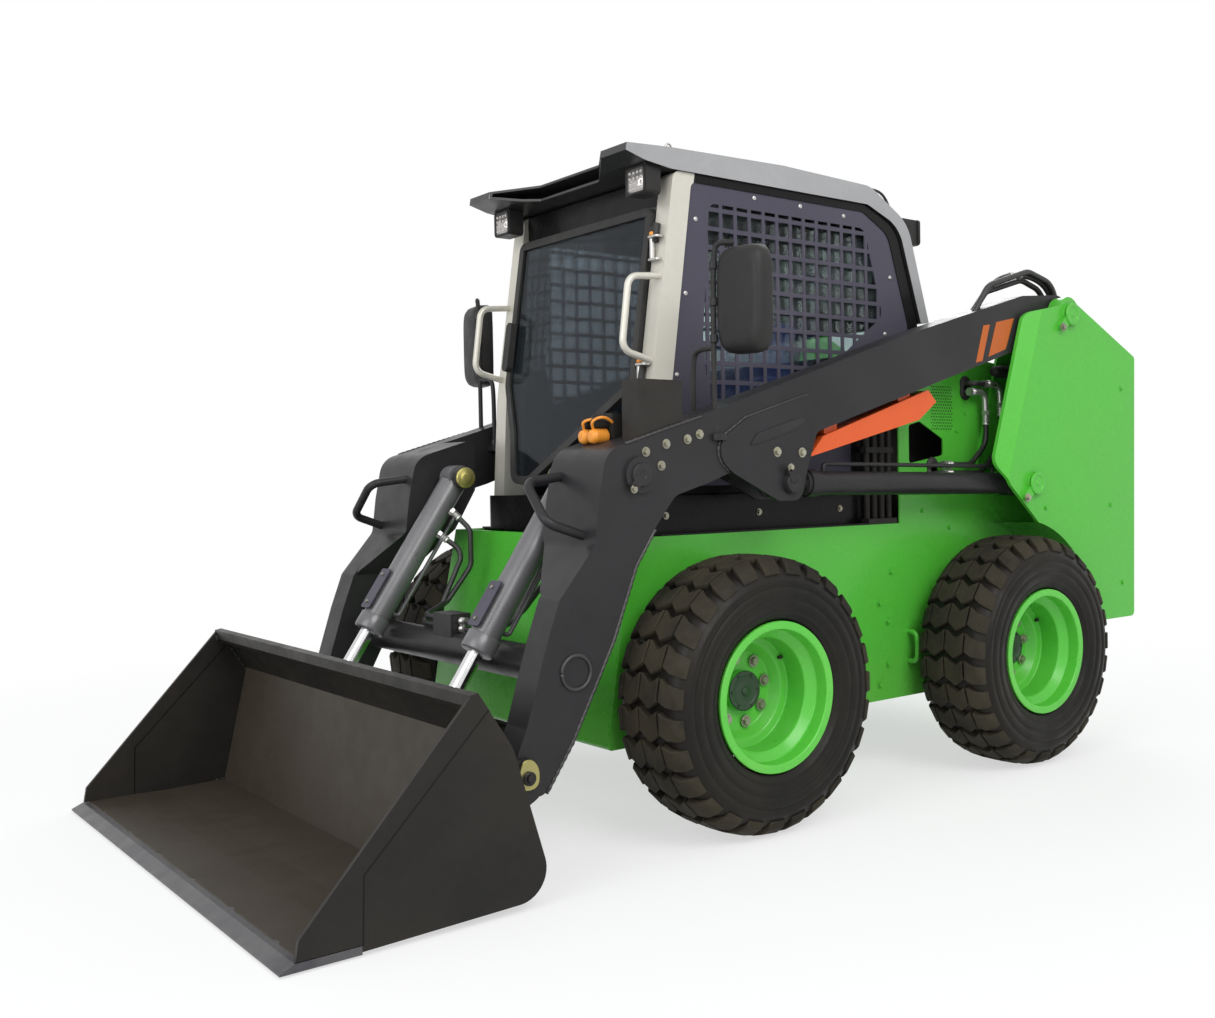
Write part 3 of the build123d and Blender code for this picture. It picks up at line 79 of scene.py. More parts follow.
def noise(place, scale, detail=4.0, rough=0.55):
    return node(place.id_data, "ShaderNodeTexNoise", in_Vector=place, in_Scale=scale, in_Detail=detail,
        in_Roughness=rough).outputs["Fac"]


def maths(operation, a, b=0.0):
    return node(a.id_data, "ShaderNodeMath", operation=operation, in_0=a, in_1=b).outputs["Value"]


def split(vector):
    return node(vector.id_data, "ShaderNodeSeparateXYZ", in_0=vector).outputs


def ramp(factor, *stops):
    """The colour at factor between two (position, colour) stops."""
    made = node(factor.id_data, "ShaderNodeValToRGB", in_Fac=factor)
    for element, (position, colour) in zip(made.color_ramp.elements, stops):
        element.position = position
        element.color = (*colour, 1.0)
    return made.outputs["Color"]


def tinted(factor, base, colour):
    """The base, mixed towards a plain colour by factor."""
    return node(factor.id_data, "ShaderNodeMix", data_type="RGBA", in_0=factor, in_6=base,
        in_7=(*colour, 1.0)).outputs[2]


def grey(value):
    return (value, value, value)


def bumped(place, layers):
    """The normal after a chain of bumps, from rows of (noise scale, height in metres, strength)."""
    chain = {}
    for scale, height, strength in layers:
        bump = node(place.id_data, "ShaderNodeBump", in_Distance=height, in_Strength=strength,
            in_Height=noise(place, scale, 3.0), **chain)
        chain = {"in_Normal": bump.outputs["Normal"]}
    return chain["in_Normal"]


def mixed_shader(factor, a, b):
    return node(a.id_data, "ShaderNodeMixShader", in_Fac=factor, in_1=a.outputs[0], in_2=b.outputs[0])


def surface(shader, kind="Material"):
    node(shader.id_data, f"ShaderNodeOutput{kind}", in_Surface=shader.outputs[0])


# rows of (noise scale, height in metres, strength): fine orange peel over a slow wave
ORANGE_PEEL = [(420.0, 0.0002, 0.25), (5.0, 0.003, 0.05)]
PATCHES, MOTTLES, SPECKS, POLISH = (3.1, 5.0), (46.0, 3.0), (9.0, 8.0, 0.7), (14.0, 4.0)
DUST_SHARE = 0.75


def coat(name, colour, tone, rough, layers=ORANGE_PEEL, dust=None, dust_low=0.45, shine=0.5, **sockets):
    """A finish whose colour drifts to tone in patches, with dust towards the ground."""
    mat = bpy.data.materials.new(name)
    tree = new_tree(mat)
    place = coords(tree)
    patches = ramp(noise(place, *PATCHES), (0.38, colour), (0.72, tone))
    base = tinted(ramp(noise(place, *MOTTLES), (0.35, grey(0.0)), (0.8, grey(0.35))), patches, tone)
    if dust:
        low = node(tree, "ShaderNodeMapRange", in_Value=split(place)["Z"], in_From_Min=0.0,
            in_From_Max=dust_low, in_To_Min=DUST_SHARE, in_To_Max=0.0).outputs["Result"]
        base = tinted(maths("MULTIPLY", low, noise(place, *SPECKS)), base, dust)
    spread = ramp(noise(place, *POLISH), (0.3, grey(rough[0])), (0.75, grey(rough[1])))
    surface(node(tree, "ShaderNodeBsdfPrincipled", in_Base_Color=base, in_Roughness=spread,
        in_Normal=bumped(place, layers), in_Specular_IOR_Level=shine, **sockets))
    return mat


green = coat("green_paint", (0.072, 0.44, 0.036), (0.08, 0.415, 0.042), (0.24, 0.36), dust=(0.2, 0.3, 0.1),
    dust_low=0.5, in_Coat_Weight=0.12, in_Coat_Roughness=0.12, shine=0.32)
rim_green = coat("rim_green_paint", (0.082, 0.48, 0.045), (0.125, 0.52, 0.062), (0.25, 0.4),
    in_Coat_Weight=0.15, in_Coat_Roughness=0.12, shine=0.35)
charcoal = coat("charcoal_paint", (0.019, 0.018, 0.0195), (0.028, 0.0265, 0.028), (0.3, 0.46),
    dust=(0.05, 0.043, 0.036), shine=0.22)
bucket_paint = coat("bucket_paint", (0.0135, 0.013, 0.012), (0.024, 0.0205, 0.0165), (0.34, 0.52),
    shine=0.2)
floor_paint_brown = coat("bucket_floor", (0.046, 0.0375, 0.027), (0.037, 0.0295, 0.021), (0.4, 0.55),
    shine=0.2)
edge_steel = coat("edge_steel", (0.06, 0.06, 0.068), (0.12, 0.118, 0.118), (0.35, 0.5),
    [(160.0, 0.0005, 0.4)], in_Metallic=0.5)
black_gloss = coat("black_panel", (0.006, 0.0057, 0.006), (0.011, 0.0103, 0.0095), (0.22, 0.34), shine=0.14)
slate = coat("slate_paint", (0.06, 0.056, 0.078), (0.072, 0.068, 0.092), (0.38, 0.5), shine=0.2)
silver = coat("cream_silver", (0.6, 0.58, 0.51), (0.52, 0.5, 0.43), (0.28, 0.42), in_Metallic=0.25)
roof_grey = coat("roof_grey", (0.33, 0.33, 0.335), (0.28, 0.28, 0.285), (0.3, 0.45))
orange = coat("orange_paint", (0.66, 0.098, 0.018), (0.58, 0.085, 0.018), (0.26, 0.4), in_Coat_Weight=0.1,
    in_Coat_Roughness=0.15, shine=0.3)
moulded = coat("black_plastic", (0.017, 0.016, 0.016), (0.026, 0.0245, 0.023), (0.42, 0.6),
    [(900.0, 0.0004, 0.5)], shine=0.25)
rubber = coat("seal_rubber", (0.012, 0.012, 0.012), (0.024, 0.022, 0.02), (0.55, 0.75),
    [(260.0, 0.0005, 0.4)])
chrome = coat("rod_chrome", (0.72, 0.72, 0.73), (0.6, 0.6, 0.61), (0.08, 0.2), [(700.0, 0.00005, 0.2)],
    in_Metallic=1.0)
zinc = coat("yellow_zinc", (0.46, 0.4, 0.1), (0.33, 0.31, 0.15), (0.25, 0.45), [(300.0, 0.0002, 0.3)],
    in_Metallic=0.75)
bolt_zinc = coat("bolt_zinc", (0.4, 0.385, 0.3), (0.26, 0.25, 0.2), (0.3, 0.5), [(300.0, 0.0002, 0.3)],
    in_Metallic=0.8)
cast = coat("cast_black", (0.017, 0.017, 0.0155), (0.03, 0.027, 0.023), (0.5, 0.7), [(120.0, 0.001, 0.5)],
    shine=0.22)
hub_dark = coat("hub_dark_green", (0.015, 0.05, 0.018), (0.02, 0.035, 0.018), (0.4, 0.6),
    [(200.0, 0.0005, 0.4)])
hose_rubber = coat("hose_rubber", (0.014, 0.014, 0.015), (0.028, 0.026, 0.024), (0.38, 0.55),
    [(330.0, 0.0006, 0.5)])
stripe_paint = coat("stripe_paint", (0.46, 0.108, 0.018), (0.41, 0.096, 0.018), (0.28, 0.4), shine=0.25)
cap_orange = coat("cap_orange", (0.78, 0.3, 0.03), (0.7, 0.24, 0.03), (0.35, 0.5), [(300.0, 0.0003, 0.3)])
silver_plate = coat("silver_plate", (0.55, 0.54, 0.52), (0.42, 0.41, 0.4), (0.25, 0.42),
    [(420.0, 0.0001, 0.3)], in_Metallic=0.85)
weld = coat("weld_bead", (0.024, 0.023, 0.024), (0.04, 0.037, 0.036), (0.3, 0.45), [(260.0, 0.0004, 0.4)])
# painted shade for the perforation's holes: dark green, as the panel's inside in shadow
hole_shade_paint = coat("painted_hole_shade", (0.006, 0.012, 0.006), (0.012, 0.02, 0.01), (0.7, 0.9),
    [(200.0, 0.0003, 0.3)])
tyre_rubber = coat("tyre_rubber", (0.0045, 0.0043, 0.004), (0.014, 0.0115, 0.0075), (0.38, 0.6),
    [(180.0, 0.0009, 0.4), (25.0, 0.002, 0.25)], shine=0.2)
tread_rubber = coat("tread_rubber", (0.0135, 0.0125, 0.0105), (0.05, 0.042, 0.027), (0.65, 0.88),
    [(180.0, 0.0012, 0.5), (25.0, 0.002, 0.3)], shine=0.15)
tube_grey = coat("cylinder_grey", (0.15, 0.148, 0.155), (0.12, 0.118, 0.122), (0.26, 0.4), in_Metallic=0.2)
red_lens = coat("red_lens", (0.45, 0.012, 0.01), (0.3, 0.01, 0.01), (0.1, 0.2), [(220.0, 0.001, 0.6)],
    in_Coat_Weight=0.6)
amber = coat("amber_lens", (0.85, 0.23, 0.02), (0.7, 0.17, 0.015), (0.1, 0.2), [(200.0, 0.001, 0.5)],
    in_Coat_Weight=0.6)
lamp_lens = coat("lamp_lens", (0.5, 0.48, 0.46), (0.3, 0.28, 0.27), (0.08, 0.16), [(110.0, 0.002, 0.7)],
    in_Metallic=0.55, in_Coat_Weight=0.8)
mirror_face = coat("mirror_face", (0.62, 0.64, 0.66), (0.5, 0.53, 0.55), (0.03, 0.06),
    [(30.0, 0.0001, 0.1)], in_Metallic=1.0)


def repainted(mat, factor, colour):
    """Paints a plain colour over a finished coat where factor is 1."""
    tree = mat.node_tree
    base = next(n for n in tree.nodes if n.type == "BSDF_PRINCIPLED").inputs["Base Color"]
    tree.links.new(tinted(factor, base.links[0].from_socket, colour), base)


def lined_below(mat, colour, ahead):
    """Paints the faces that look down, and those that look ahead beyond x, in another colour."""
    facing = split(coords(mat.node_tree, "Normal"))
    beyond = maths("GREATER_THAN", split(coords(mat.node_tree))["X"], ahead)
    forward = maths("MULTIPLY", maths("GREATER_THAN", facing["X"], 0.45), beyond)
    repainted(mat, maths("MAXIMUM", maths("LESS_THAN", facing["Z"], -0.12), forward), colour)


lined_below(roof_grey, (0.02, 0.0195, 0.0195), 0.3)


def wing_seam(mat, colour, start, end, width):
    """A dark seam on the faces that look sideways, along a line in X and Z."""
    tree = mat.node_tree
    way = Vector((end[0] - start[0], 0, end[1] - start[1])).normalized()
    across = Vector((-way.z, 0, way.x))
    offset = node(tree, "ShaderNodeVectorMath", operation="SUBTRACT", in_0=coords(tree),
        in_1=(start[0], 0, start[1])).outputs["Vector"]
    inside = maths("GREATER_THAN", maths("ABSOLUTE", split(coords(tree, "Normal"))["Y"]), 0.8)
    for axis, low, high in ((across, -width / 2, width / 2), (way, 0.0, math.dist(start, end))):
        along = node(tree, "ShaderNodeVectorMath", operation="DOT_PRODUCT", in_0=offset,
            in_1=tuple(axis)).outputs["Value"]
        inside = maths("MULTIPLY", inside, maths("GREATER_THAN", along, low))
        inside = maths("MULTIPLY", inside, maths("LESS_THAN", along, high))
    repainted(mat, inside, colour)


WING_LINE = ((1.259, 0.526), (1.593, 0.185), (1.598, 0.026))
for start, end in zip(WING_LINE, WING_LINE[1:]):
    wing_seam(bucket_paint, grey(0.003), start, end, 0.0045)


def pane(name, tint, share):
    """Tinted glass with faint smears; share of it is plain tinted air."""
    mat = bpy.data.materials.new(name)
    tree = new_tree(mat)
    place = coords(tree)
    smears = ramp(noise(place, 2.4, 6.0), (0.3, tint), (0.8, tuple(c * 0.82 for c in tint)))
    wiped = ramp(noise(place, 6.0, 6.0), (0.4, grey(0.02)), (0.85, grey(0.07)))
    glass = node(tree, "ShaderNodeBsdfPrincipled", in_Transmission_Weight=0.9, in_IOR=1.45,
        in_Base_Color=smears, in_Roughness=wiped)
    clear = node(tree, "ShaderNodeBsdfTransparent", in_Color=(*tint, 1.0))
    surface(mixed_shader(share, glass, clear))
    return mat


# the door pane's dark tint is partly the glass's own tint and partly painted shade of the dark cab inside
# seen through it
door_glass = pane("door_glass", (0.27, 0.3, 0.33), 0.7)
side_glass = pane("side_glass", (0.8, 0.86, 0.86), 0.82)


def cloth_material(name, base, thread):
    """A woven seat cover: crossed threads from two fine wave textures."""
    mat = bpy.data.materials.new(name)
    tree = new_tree(mat)
    place = coords(tree)
    weave = maths("MULTIPLY", *[node(tree, "ShaderNodeTexWave", bands_direction=axis, in_Vector=place,
        in_Scale=160.0, in_Distortion=0.6).outputs["Fac"] for axis in "XZ"])
    worn = ramp(noise(place, 7.0, 5.0), (0.35, base), (0.75, thread))
    bump = node(tree, "ShaderNodeBump", in_Distance=0.0006, in_Strength=0.6, in_Height=weave)
    surface(node(tree, "ShaderNodeBsdfPrincipled", in_Roughness=0.85, in_Sheen_Weight=0.4,
        in_Base_Color=tinted(weave, worn, thread), in_Normal=bump.outputs["Normal"]))
    return mat


seat_cloth = cloth_material("seat_cloth", (0.02, 0.034, 0.21), (0.045, 0.075, 0.34))

# --- Finishes of the CAD nodes
FINISHES = (
    (green, "chassis_frame side_panels tower_left tower_right top_cover rear_frame rear_door"),
    (rim_green, "front_left_rim front_right_rim rear_left_rim rear_right_rim"),
    (charcoal, "lift_arm_left lift_arm_right torsion_tube arm_handrails coupler_frame lift_barrel_left "
               "lift_barrel_right"),
    (tube_grey, "tilt_barrel_left tilt_barrel_right"),
    (chrome, "lift_rod_left lift_rod_right tilt_rod_left tilt_rod_right"),
    (cast, "axle_tubes hydraulic_block side_pipes"), (black_gloss, "cab_frame cab_floor"),
    (moulded, "battery_pack seat_base control_consoles work_lamps mirrors"),
    (hose_rubber, "arm_hoses lift_hoses tilt_hoses"), (silver, "cab_posts grab_rails"),
    (roof_grey, "cab_roof"), (slate, "cab_screens"), (side_glass, "cab_glass"), (amber, "beacon"),
    (rubber, "cab_door_frame"), (door_glass, "cab_door_glass"), (orange, "arm_support_strut"),
    (bucket_paint, "bucket_shell"), (edge_steel, "cutting_edge"), (red_lens, "tail_lamps"),
)
for mat, names in FINISHES:
    for name in names.split():
        for slot in nodes[name].material_slots:
            slot.material = mat


# --- Mesh helpers
def smoothed(mesh):
    mesh.polygons.foreach_set("use_smooth", [True] * len(mesh.polygons))


def crisp(made):
    """Keeps the hard edges of a smooth piece."""
    made.data.set_sharp_from_angle(angle=radians(40))


def piece(name, verts, faces, mat, body, smooth=False):
    mesh = bpy.data.meshes.new(name)
    mesh.from_pydata([tuple(v) for v in verts], [], faces)
    mesh.materials.append(mat)
    made = bpy.data.objects.new(name, mesh)
    scene.collection.objects.link(made)
    clean = bmesh.new()
    clean.from_mesh(mesh)
    bmesh.ops.remove_doubles(clean, verts=clean.verts, dist=1e-6)
    bmesh.ops.recalc_face_normals(clean, faces=clean.faces)
    clean.to_mesh(mesh)
    clean.free()
    if smooth:
        smoothed(mesh)
    if body:
        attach(made, body)
    return made


def modified(made, kind, **settings):
    """Adds a modifier with these settings and applies it."""
    mod = made.modifiers.new(kind, kind)
    for key, value in settings.items():
        setattr(mod, key, value)
    bpy.context.view_layer.objects.active = made
    bpy.ops.object.modifier_apply(modifier=mod.name)


def bevel(made, width, segments=2, angle=35):
    modified(made, "BEVEL", width=width, segments=segments, limit_method="ANGLE",
        angle_limit=radians(angle))
    smoothed(made.data)
    crisp(made)


def circle(radius, count, start=0.0):
    """Points round a circle, the first at the angle start."""
    return [(radius * cos(start + 2 * pi * k / count), radius * sin(start + 2 * pi * k / count))
        for k in range(count)]


def prism(rim, along, start, depth):
    """Verts and faces of a prism: a closed loop of 2-D rim points, laid by along(u, v, w)."""
    count = len(rim)
    verts = [along(u, v, start) for u, v in rim] + [along(u, v, start + depth) for u, v in rim]
    faces = [tuple(range(count)), tuple(range(2 * count - 1, count - 1, -1))]
    faces += [(i, (i + 1) % count, count + (i + 1) % count, count + i) for i in range(count)]
    return verts, faces


def joined(parts):
    verts, faces = [], []
    for part_verts, part_faces in parts:
        shift = len(verts)
        verts += part_verts
        faces += [tuple(i + shift for i in face) for face in part_faces]
    return verts, faces


def rings(count, sides, shift=0):
    """Faces between count rings of verts, each of as many sides."""
    faces = []
    for a in range(shift, shift + (count - 1) * sides, sides):
        b = a + sides
        faces += [(a + k, a + (k + 1) % sides, b + (k + 1) % sides, b + k) for k in range(sides)]
    return faces


def lathe(rows, centre, count):
    """A ring round a Y axis through centre, from (y, radius) rows."""
    sides = len(rows)
    verts = [(centre[0] + r * across, y, centre[1] + r * high) for high, across in circle(1, count)
        for y, r in rows]
    last = len(verts) - sides
    return verts, rings(count, sides) + [(last + k, last + (k + 1) % sides, (k + 1) % sides, k)
        for k in range(sides)]


# shares of a bolt's width across corners, and a washer's place and thickness in metres
WASHER_SHARE, HEAD_SHARE, CHAMFER = 0.72, 0.42, 0.86
WASHER_SUNK, WASHER_THICK = 0.001, 0.003


def bolt(at, out, size, washer=True):
    """A hexagon bolt head on a washer, standing along out."""
    turn = Vector(out).to_track_quat("Z", "Y").to_matrix()
    spin = rng.uniform(0, pi / 3)
    height = size * HEAD_SHARE

    def lay(u, v, w):
        return Vector(at) + turn @ Vector((u, v, w))

    parts, base = [], 0.0
    if washer:
        parts.append(prism(circle(size * WASHER_SHARE, 16), lay, -WASHER_SUNK, WASHER_THICK))
        base = WASHER_THICK - WASHER_SUNK
    hexagon = circle(size / 2, 6, spin)
    parts.append(prism(hexagon, lay, base, height * 0.8))
    cap = [(u * CHAMFER, v * CHAMFER) for u, v in hexagon]
    parts.append(prism(cap, lay, base + height * 0.8, height * 0.2))
    return joined(parts)


def fitted(name, shape, mat, body, smooth=False, edge=None):
    """A piece of one material slot; edge holds its bevel's width, steps and angle."""
    made = piece(name, *shape, mat, body, smooth)
    if edge:
        bevel(made, *edge)
    return made


def bolts(name, places, out, size, body, mat=bolt_zinc, washer=True):
    return fitted(name, joined([bolt(at, out, size, washer) for at in places]), mat, body)


# --- Camera, light and floor
CAMERA_PLACE = (2.765, 3.618, 1.083)
camera_data = bpy.data.cameras.new("camera")
camera = bpy.data.objects.new("camera", camera_data)
scene.collection.objects.link(camera)
look = Vector((-0.64201779, -0.76628212, -0.0249974))
right = Vector((-0.76616668, 0.64244284, -0.01599432))
up = Vector((-0.02831556, -0.00888354, 0.99955956))
turn = Matrix((right, up, -look)).transposed().to_4x4()
camera.matrix_world = Matrix.Translation(CAMERA_PLACE) @ turn
camera_data.sensor_width = 36.0
camera_data.lens = 37.066
camera_data.shift_x = -0.0957
camera_data.shift_y = -0.0031
camera_data.clip_end = 200.0
scene.camera = camera


def seen_directly(tree):
    """1 for camera, glossy and transmitted rays, 0 for the light that falls on the object."""
    path = node(tree, "ShaderNodeLightPath").outputs
    direct = maths("MAXIMUM", path["Is Camera Ray"], path["Is Glossy Ray"])
    return maths("MAXIMUM", direct, path["Is Transmission Ray"])


world = bpy.data.worlds.new("studio")
tree = new_tree(world)
sky = node(tree, "ShaderNodeBackground", in_Color=(0.93, 0.96, 1.0, 1.0), in_Strength=0.62)
white = node(tree, "ShaderNodeBackground", in_Color=(1.0, 1.0, 1.0, 1.0), in_Strength=1.0)
surface(mixed_shader(seen_directly(tree), sky, white), "World")
scene.world = world


def soft_lamp(name, place, aim, size, power, colour=(1, 1, 1)):
    data = bpy.data.lights.new(name, "AREA")
    data.size = size
    data.energy = power
    data.color = colour
    lamp = bpy.data.objects.new(name, data)
    lamp.location = place
    lamp.rotation_euler = (Vector(aim) - Vector(place)).to_track_quat("-Z", "Y").to_euler()
    scene.collection.objects.link(lamp)


soft_lamp("key", (1.5, 7.5, 6.5), (0, 0, 0.8), 5.0, 450, (1.0, 0.99, 0.97))
soft_lamp("front_fill", (7.5, 2.5, 4.0), (0.4, 0, 0.7), 5.0, 260)
soft_lamp("back_rim", (-6.0, -4.5, 6.0), (-0.3, 0, 1.0), 5.0, 260)

floor_paint = bpy.data.materials.new("studio_floor")
tree = new_tree(floor_paint)
place = coords(tree)
grain = ramp(noise(place, 1.2, 2.0), (0.2, grey(0.86)), (0.8, grey(0.88)))
distance = node(tree, "ShaderNodeVectorMath", operation="LENGTH", in_0=place).outputs["Value"]
whiteness = node(tree, "ShaderNodeMapRange", in_Value=distance, in_From_Min=1.6, in_From_Max=4.6,
    in_To_Min=0.6, in_To_Max=1.0).outputs["Result"]
matt = node(tree, "ShaderNodeBsdfDiffuse", in_Color=grain)
glow = node(tree, "ShaderNodeEmission", in_Color=(1, 1, 1, 1), in_Strength=1.0)
surface(mixed_shader(maths("MULTIPLY", seen_directly(tree), whiteness), matt, glow))
FLOOR_REACH, FLOOR_Z = 60.0, -0.0005
corners = [(-1, -1), (1, -1), (1, 1), (-1, 1)]
floor = piece("studio_floor", [(x * FLOOR_REACH, y * FLOOR_REACH, FLOOR_Z) for x, y in corners],
    [(0, 1, 2, 3)], floor_paint, None)

# --- Tyres: carcass with a block tread
TREAD_ROWS = 27
CROWN = [(0.0, 0.4195), (0.06, 0.419), (0.098, 0.414), (0.122, 0.404), (0.137, 0.388), (0.1475, 0.362),
    (0.151, 0.338)]
LUG_DEPTH = 0.025
TREAD_GROOVE = 0.0035
TREAD_STATIONS = [-0.1455, -0.137, -0.112, -0.083, -0.045, 0.0, 0.045, 0.083, 0.112, 0.137, 0.1455]
TREAD_LEAN = {0.0: 0.0, 0.045: 0.3, 0.083: 0.06, 0.112: 0.22, 0.137: 0.28, 0.1455: 0.3}


def crown_point(y, drop):
    """Radius and side position of the tread surface at a distance y across the tyre, drop below it."""
    side = math.copysign(1, y)
    y = abs(y)
    for (ya, ra), (yb, rb) in zip(CROWN, CROWN[1:]):
        if y <= yb + 1e-9:
            share = (y - ya) / (yb - ya)
            slope = math.atan2(ra - rb, yb - ya)
            radius = ra + (rb - ra) * share
            return side * (y - drop * sin(slope)), radius - drop * cos(slope)
    return side * y, CROWN[-1][1] - drop


def tread_blocks(centre, middle_y):
    """Zigzag bars from shoulder to shoulder, each cut into four blocks with grooves between."""
    pitch = 2 * pi / TREAD_ROWS
    parts = []
    for row in range(TREAD_ROWS):
        for first, last in ((0, 3), (3, 5), (5, 7), (7, 10)):
            verts, faces = [], []
            cells = TREAD_STATIONS[first:last + 1]
            half = pitch * (0.36 if first < 7 else 0.34)
            for index, y in enumerate(cells):
                inset = 0.0
                if index == 0 and first:
                    inset = TREAD_GROOVE
                elif index == len(cells) - 1 and last < 10:
                    inset = -TREAD_GROOVE
                mid = (row + TREAD_LEAN[abs(y)]) * pitch
                for drop, grow in ((0.0, 0.0), (LUG_DEPTH, 0.022)):
                    py, pr = crown_point(y + inset, drop)
                    for sign in (-1, 1):
                        a = mid + sign * (half + grow * pitch)
                        verts.append((centre[0] + pr * sin(a), middle_y + py, centre[1] + pr * cos(a)))
            for a in range(0, 4 * len(cells) - 4, 4):
                b = a + 4
                faces += [(a, b, b + 1, a + 1), (a + 2, a + 3, b + 3, b + 2), (a, a + 2, b + 2, b),
                    (a + 1, b + 1, b + 3, a + 3)]
            end = 4 * (len(cells) - 1)
            faces += [(0, 1, 3, 2), (end, end + 2, end + 3, end + 1)]
            parts.append((verts, faces))
    return joined(parts)


def carcass_rows(middle_y):
    """The tyre's closed section under the tread, with rings on its sides and a bead lip."""
    half = [(0.0, 0.3985), (0.06, 0.398), (0.098, 0.393), (0.118, 0.3865), (0.131, 0.3785),
        (0.1395, 0.3675), (0.1455, 0.354), (0.1475, 0.3525), (0.1495, 0.344), (0.1503, 0.334),
        (0.1475, 0.331), (0.1475, 0.326), (0.1508, 0.323), (0.1513, 0.311), (0.1508, 0.299),
        (0.1478, 0.296), (0.1475, 0.291), (0.1498, 0.288), (0.1485, 0.278), (0.1445, 0.262),
        (0.1412, 0.256), (0.1432, 0.2535), (0.1425, 0.249), (0.1385, 0.2465), (0.1345, 0.239),
        (0.13, 0.232), (0.124, 0.2275), (0.1, 0.2265)]
    right_side = [(middle_y + y, r) for y, r in half]
    left_side = [(middle_y - y, r) for y, r in reversed(half[1:])]
    return right_side + left_side


SIDES = (("left", 1), ("right", -1))
WHEELS = [(f"{end}_{side}", out) for end in ("front", "rear") for side, out in SIDES]
NUT_FACE, NUT_CIRCLE = 0.7165, 0.1


def middle_of(node_name):
    low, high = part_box(node_name)
    return (Vector(low) + Vector(high)) / 2


for wheel, out in WHEELS:
    tyre, body = f"{wheel}_tyre", f"{wheel}_wheel"
    mid = middle_of(tyre)
    centre = (mid.x, mid.z)
    fitted(f"{tyre}_tread", tread_blocks(centre, mid.y), tread_rubber, body, edge=(0.0022, 1, 25))
    carcass = fitted(f"{tyre}_carcass", lathe(carcass_rows(mid.y), centre, 108), tyre_rubber, body,
        True)
    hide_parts(tyre)
    nuts = [(mid.x + x, NUT_FACE * out, mid.z + z) for z, x in circle(NUT_CIRCLE, 8, 0.2)]
    bolts(f"{wheel}_wheel_nuts", nuts, (0, out, 0), 0.026, body)

# --- Helpers for pieces seated on the CAD faces
def seat_at(node_name, start, way):
    """Point and normal where a ray meets a CAD node at rest."""
    hit, place, normal, _ = nodes[node_name].ray_cast(Vector(start), Vector(way))
    if not hit:
        raise RuntimeError(f"nothing of {node_name} at {start}")
    return place, normal


def on_side(node_name, places, out):
    """Points on a node's outer face on one side, from those (x, z) pairs that meet it."""
    casts = [nodes[node_name].ray_cast(Vector((x, 1.5 * out, z)), Vector((0, -out, 0))) for x, z in places]
    return [place for hit, place, _, _ in casts if hit]


def frame_of(way, roll=(0, 0, 1)):
    """Rotation whose third axis is way and whose second axis is as near roll as it can be."""
    w = Vector(way).normalized()
    u = Vector(roll).cross(w).normalized()
    return Matrix((u, w.cross(u), w)).transposed()


def round_frame(way):
    return frame_of(way, (0, 0, 1) if abs(Vector(way).normalized().z) < 0.9 else (1, 0, 0))


def turned(rows, origin, way, segments=24):
    """A closed turned shape along way, from (distance, radius) rows."""
    lay, origin = round_frame(way), Vector(origin)
    verts = [origin + lay @ Vector((0, 0, rows[0][0]))]
    for s, r in rows:
        verts += [origin + lay @ Vector((u, v, s)) for u, v in circle(r, segments)]
    verts.append(origin + lay @ Vector((0, 0, rows[-1][0])))
    faces = [(0, 1 + (k + 1) % segments, 1 + k) for k in range(segments)]
    faces += rings(len(rows), segments, 1)
    last, end = 1 + (len(rows) - 1) * segments, len(verts) - 1
    faces += [(end, last + k, last + (k + 1) % segments) for k in range(segments)]
    return verts, faces


def plate_on(rim, origin, way, thick, roll=(0, 0, 1)):
    """A flat plate whose rim is drawn in (across, up) on a face at origin."""
    lay = frame_of(way, roll)
    return prism(rim, lambda u, v, w: Vector(origin) + lay @ Vector((u, v, w)), -0.0015, thick + 0.0015)


def rounded(width, height, radius, steps=4):
    rim = []
    for cx, cy, start in ((1, 1, 0), (-1, 1, 90), (-1, -1, 180), (1, -1, 270)):
        for k in range(steps + 1):
            a = radians(start + 90 * k / steps)
            rim.append((cx * (width / 2 - radius) + radius * cos(a), cy * (height / 2 - radius)
                + radius * sin(a)))
    return rim


RIPPLE = 1.7


def tube(points, radius, sides=10, wave=0.0):
    """A round bar through points; a wave swells it in steps as a weld bead does."""
    line = [Vector(p) for p in points]
    verts, normal = [], None
    for i, p in enumerate(line):
        way = (line[min(i + 1, len(line) - 1)] - line[max(i - 1, 0)]).normalized()
        if normal is None:
            normal = way.orthogonal().normalized()
        else:
            normal = (normal - way * normal.dot(way)).normalized()
        other = way.cross(normal)
        r = radius * (1 + wave * sin(i * RIPPLE))
        verts += [p + normal * u + other * v for u, v in circle(r, sides)]
    faces = rings(len(line), sides)
    faces += [tuple(range(sides)), tuple(range((len(line) - 1) * sides, len(line) * sides))]
    return verts, faces


def walked(points, step):
    """The line through points, with a point every step."""
    line = [Vector(p) for p in points]
    out = [line[0]]
    for a, b in zip(line, line[1:]):
        count = max(1, round((b - a).length / step))
        out += [a.lerp(b, k / count) for k in range(1, count + 1)]
    return out


def smooth_line(points, rounds=3):
    """Chaikin's corner cutting, which keeps the two ends."""
    line = [Vector(p) for p in points]
    for _ in range(rounds):
        new = [line[0]]
        for a, b in zip(line, line[1:]):
            new += [a.lerp(b, 0.25), a.lerp(b, 0.75)]
        line = new + [line[-1]]
    return line


def smooth_rim(points):
    """A closed rim with its corners cut off twice."""
    for _ in range(2):
        cut = []
        for (xa, ya), (xb, yb) in zip(points, points[1:] + points[:1]):
            cut += [(xa * share + xb * (1 - share), ya * share + yb * (1 - share))
                for share in (0.75, 0.25)]
        points = cut
    return points


def pipe(points, radius, sides=8):
    """A round bar on the smooth line through points."""
    return tube(smooth_line(points), radius, sides)


def sided(points, out):
    return [(x, y * out, z) for x, y, z in points]


def bead(name, points, radius, body, mat=weld):
    """A weld bead, rippled along its length."""
    return fitted(name, tube(walked(points, 0.006), radius, 8, 0.16), mat, body, True)


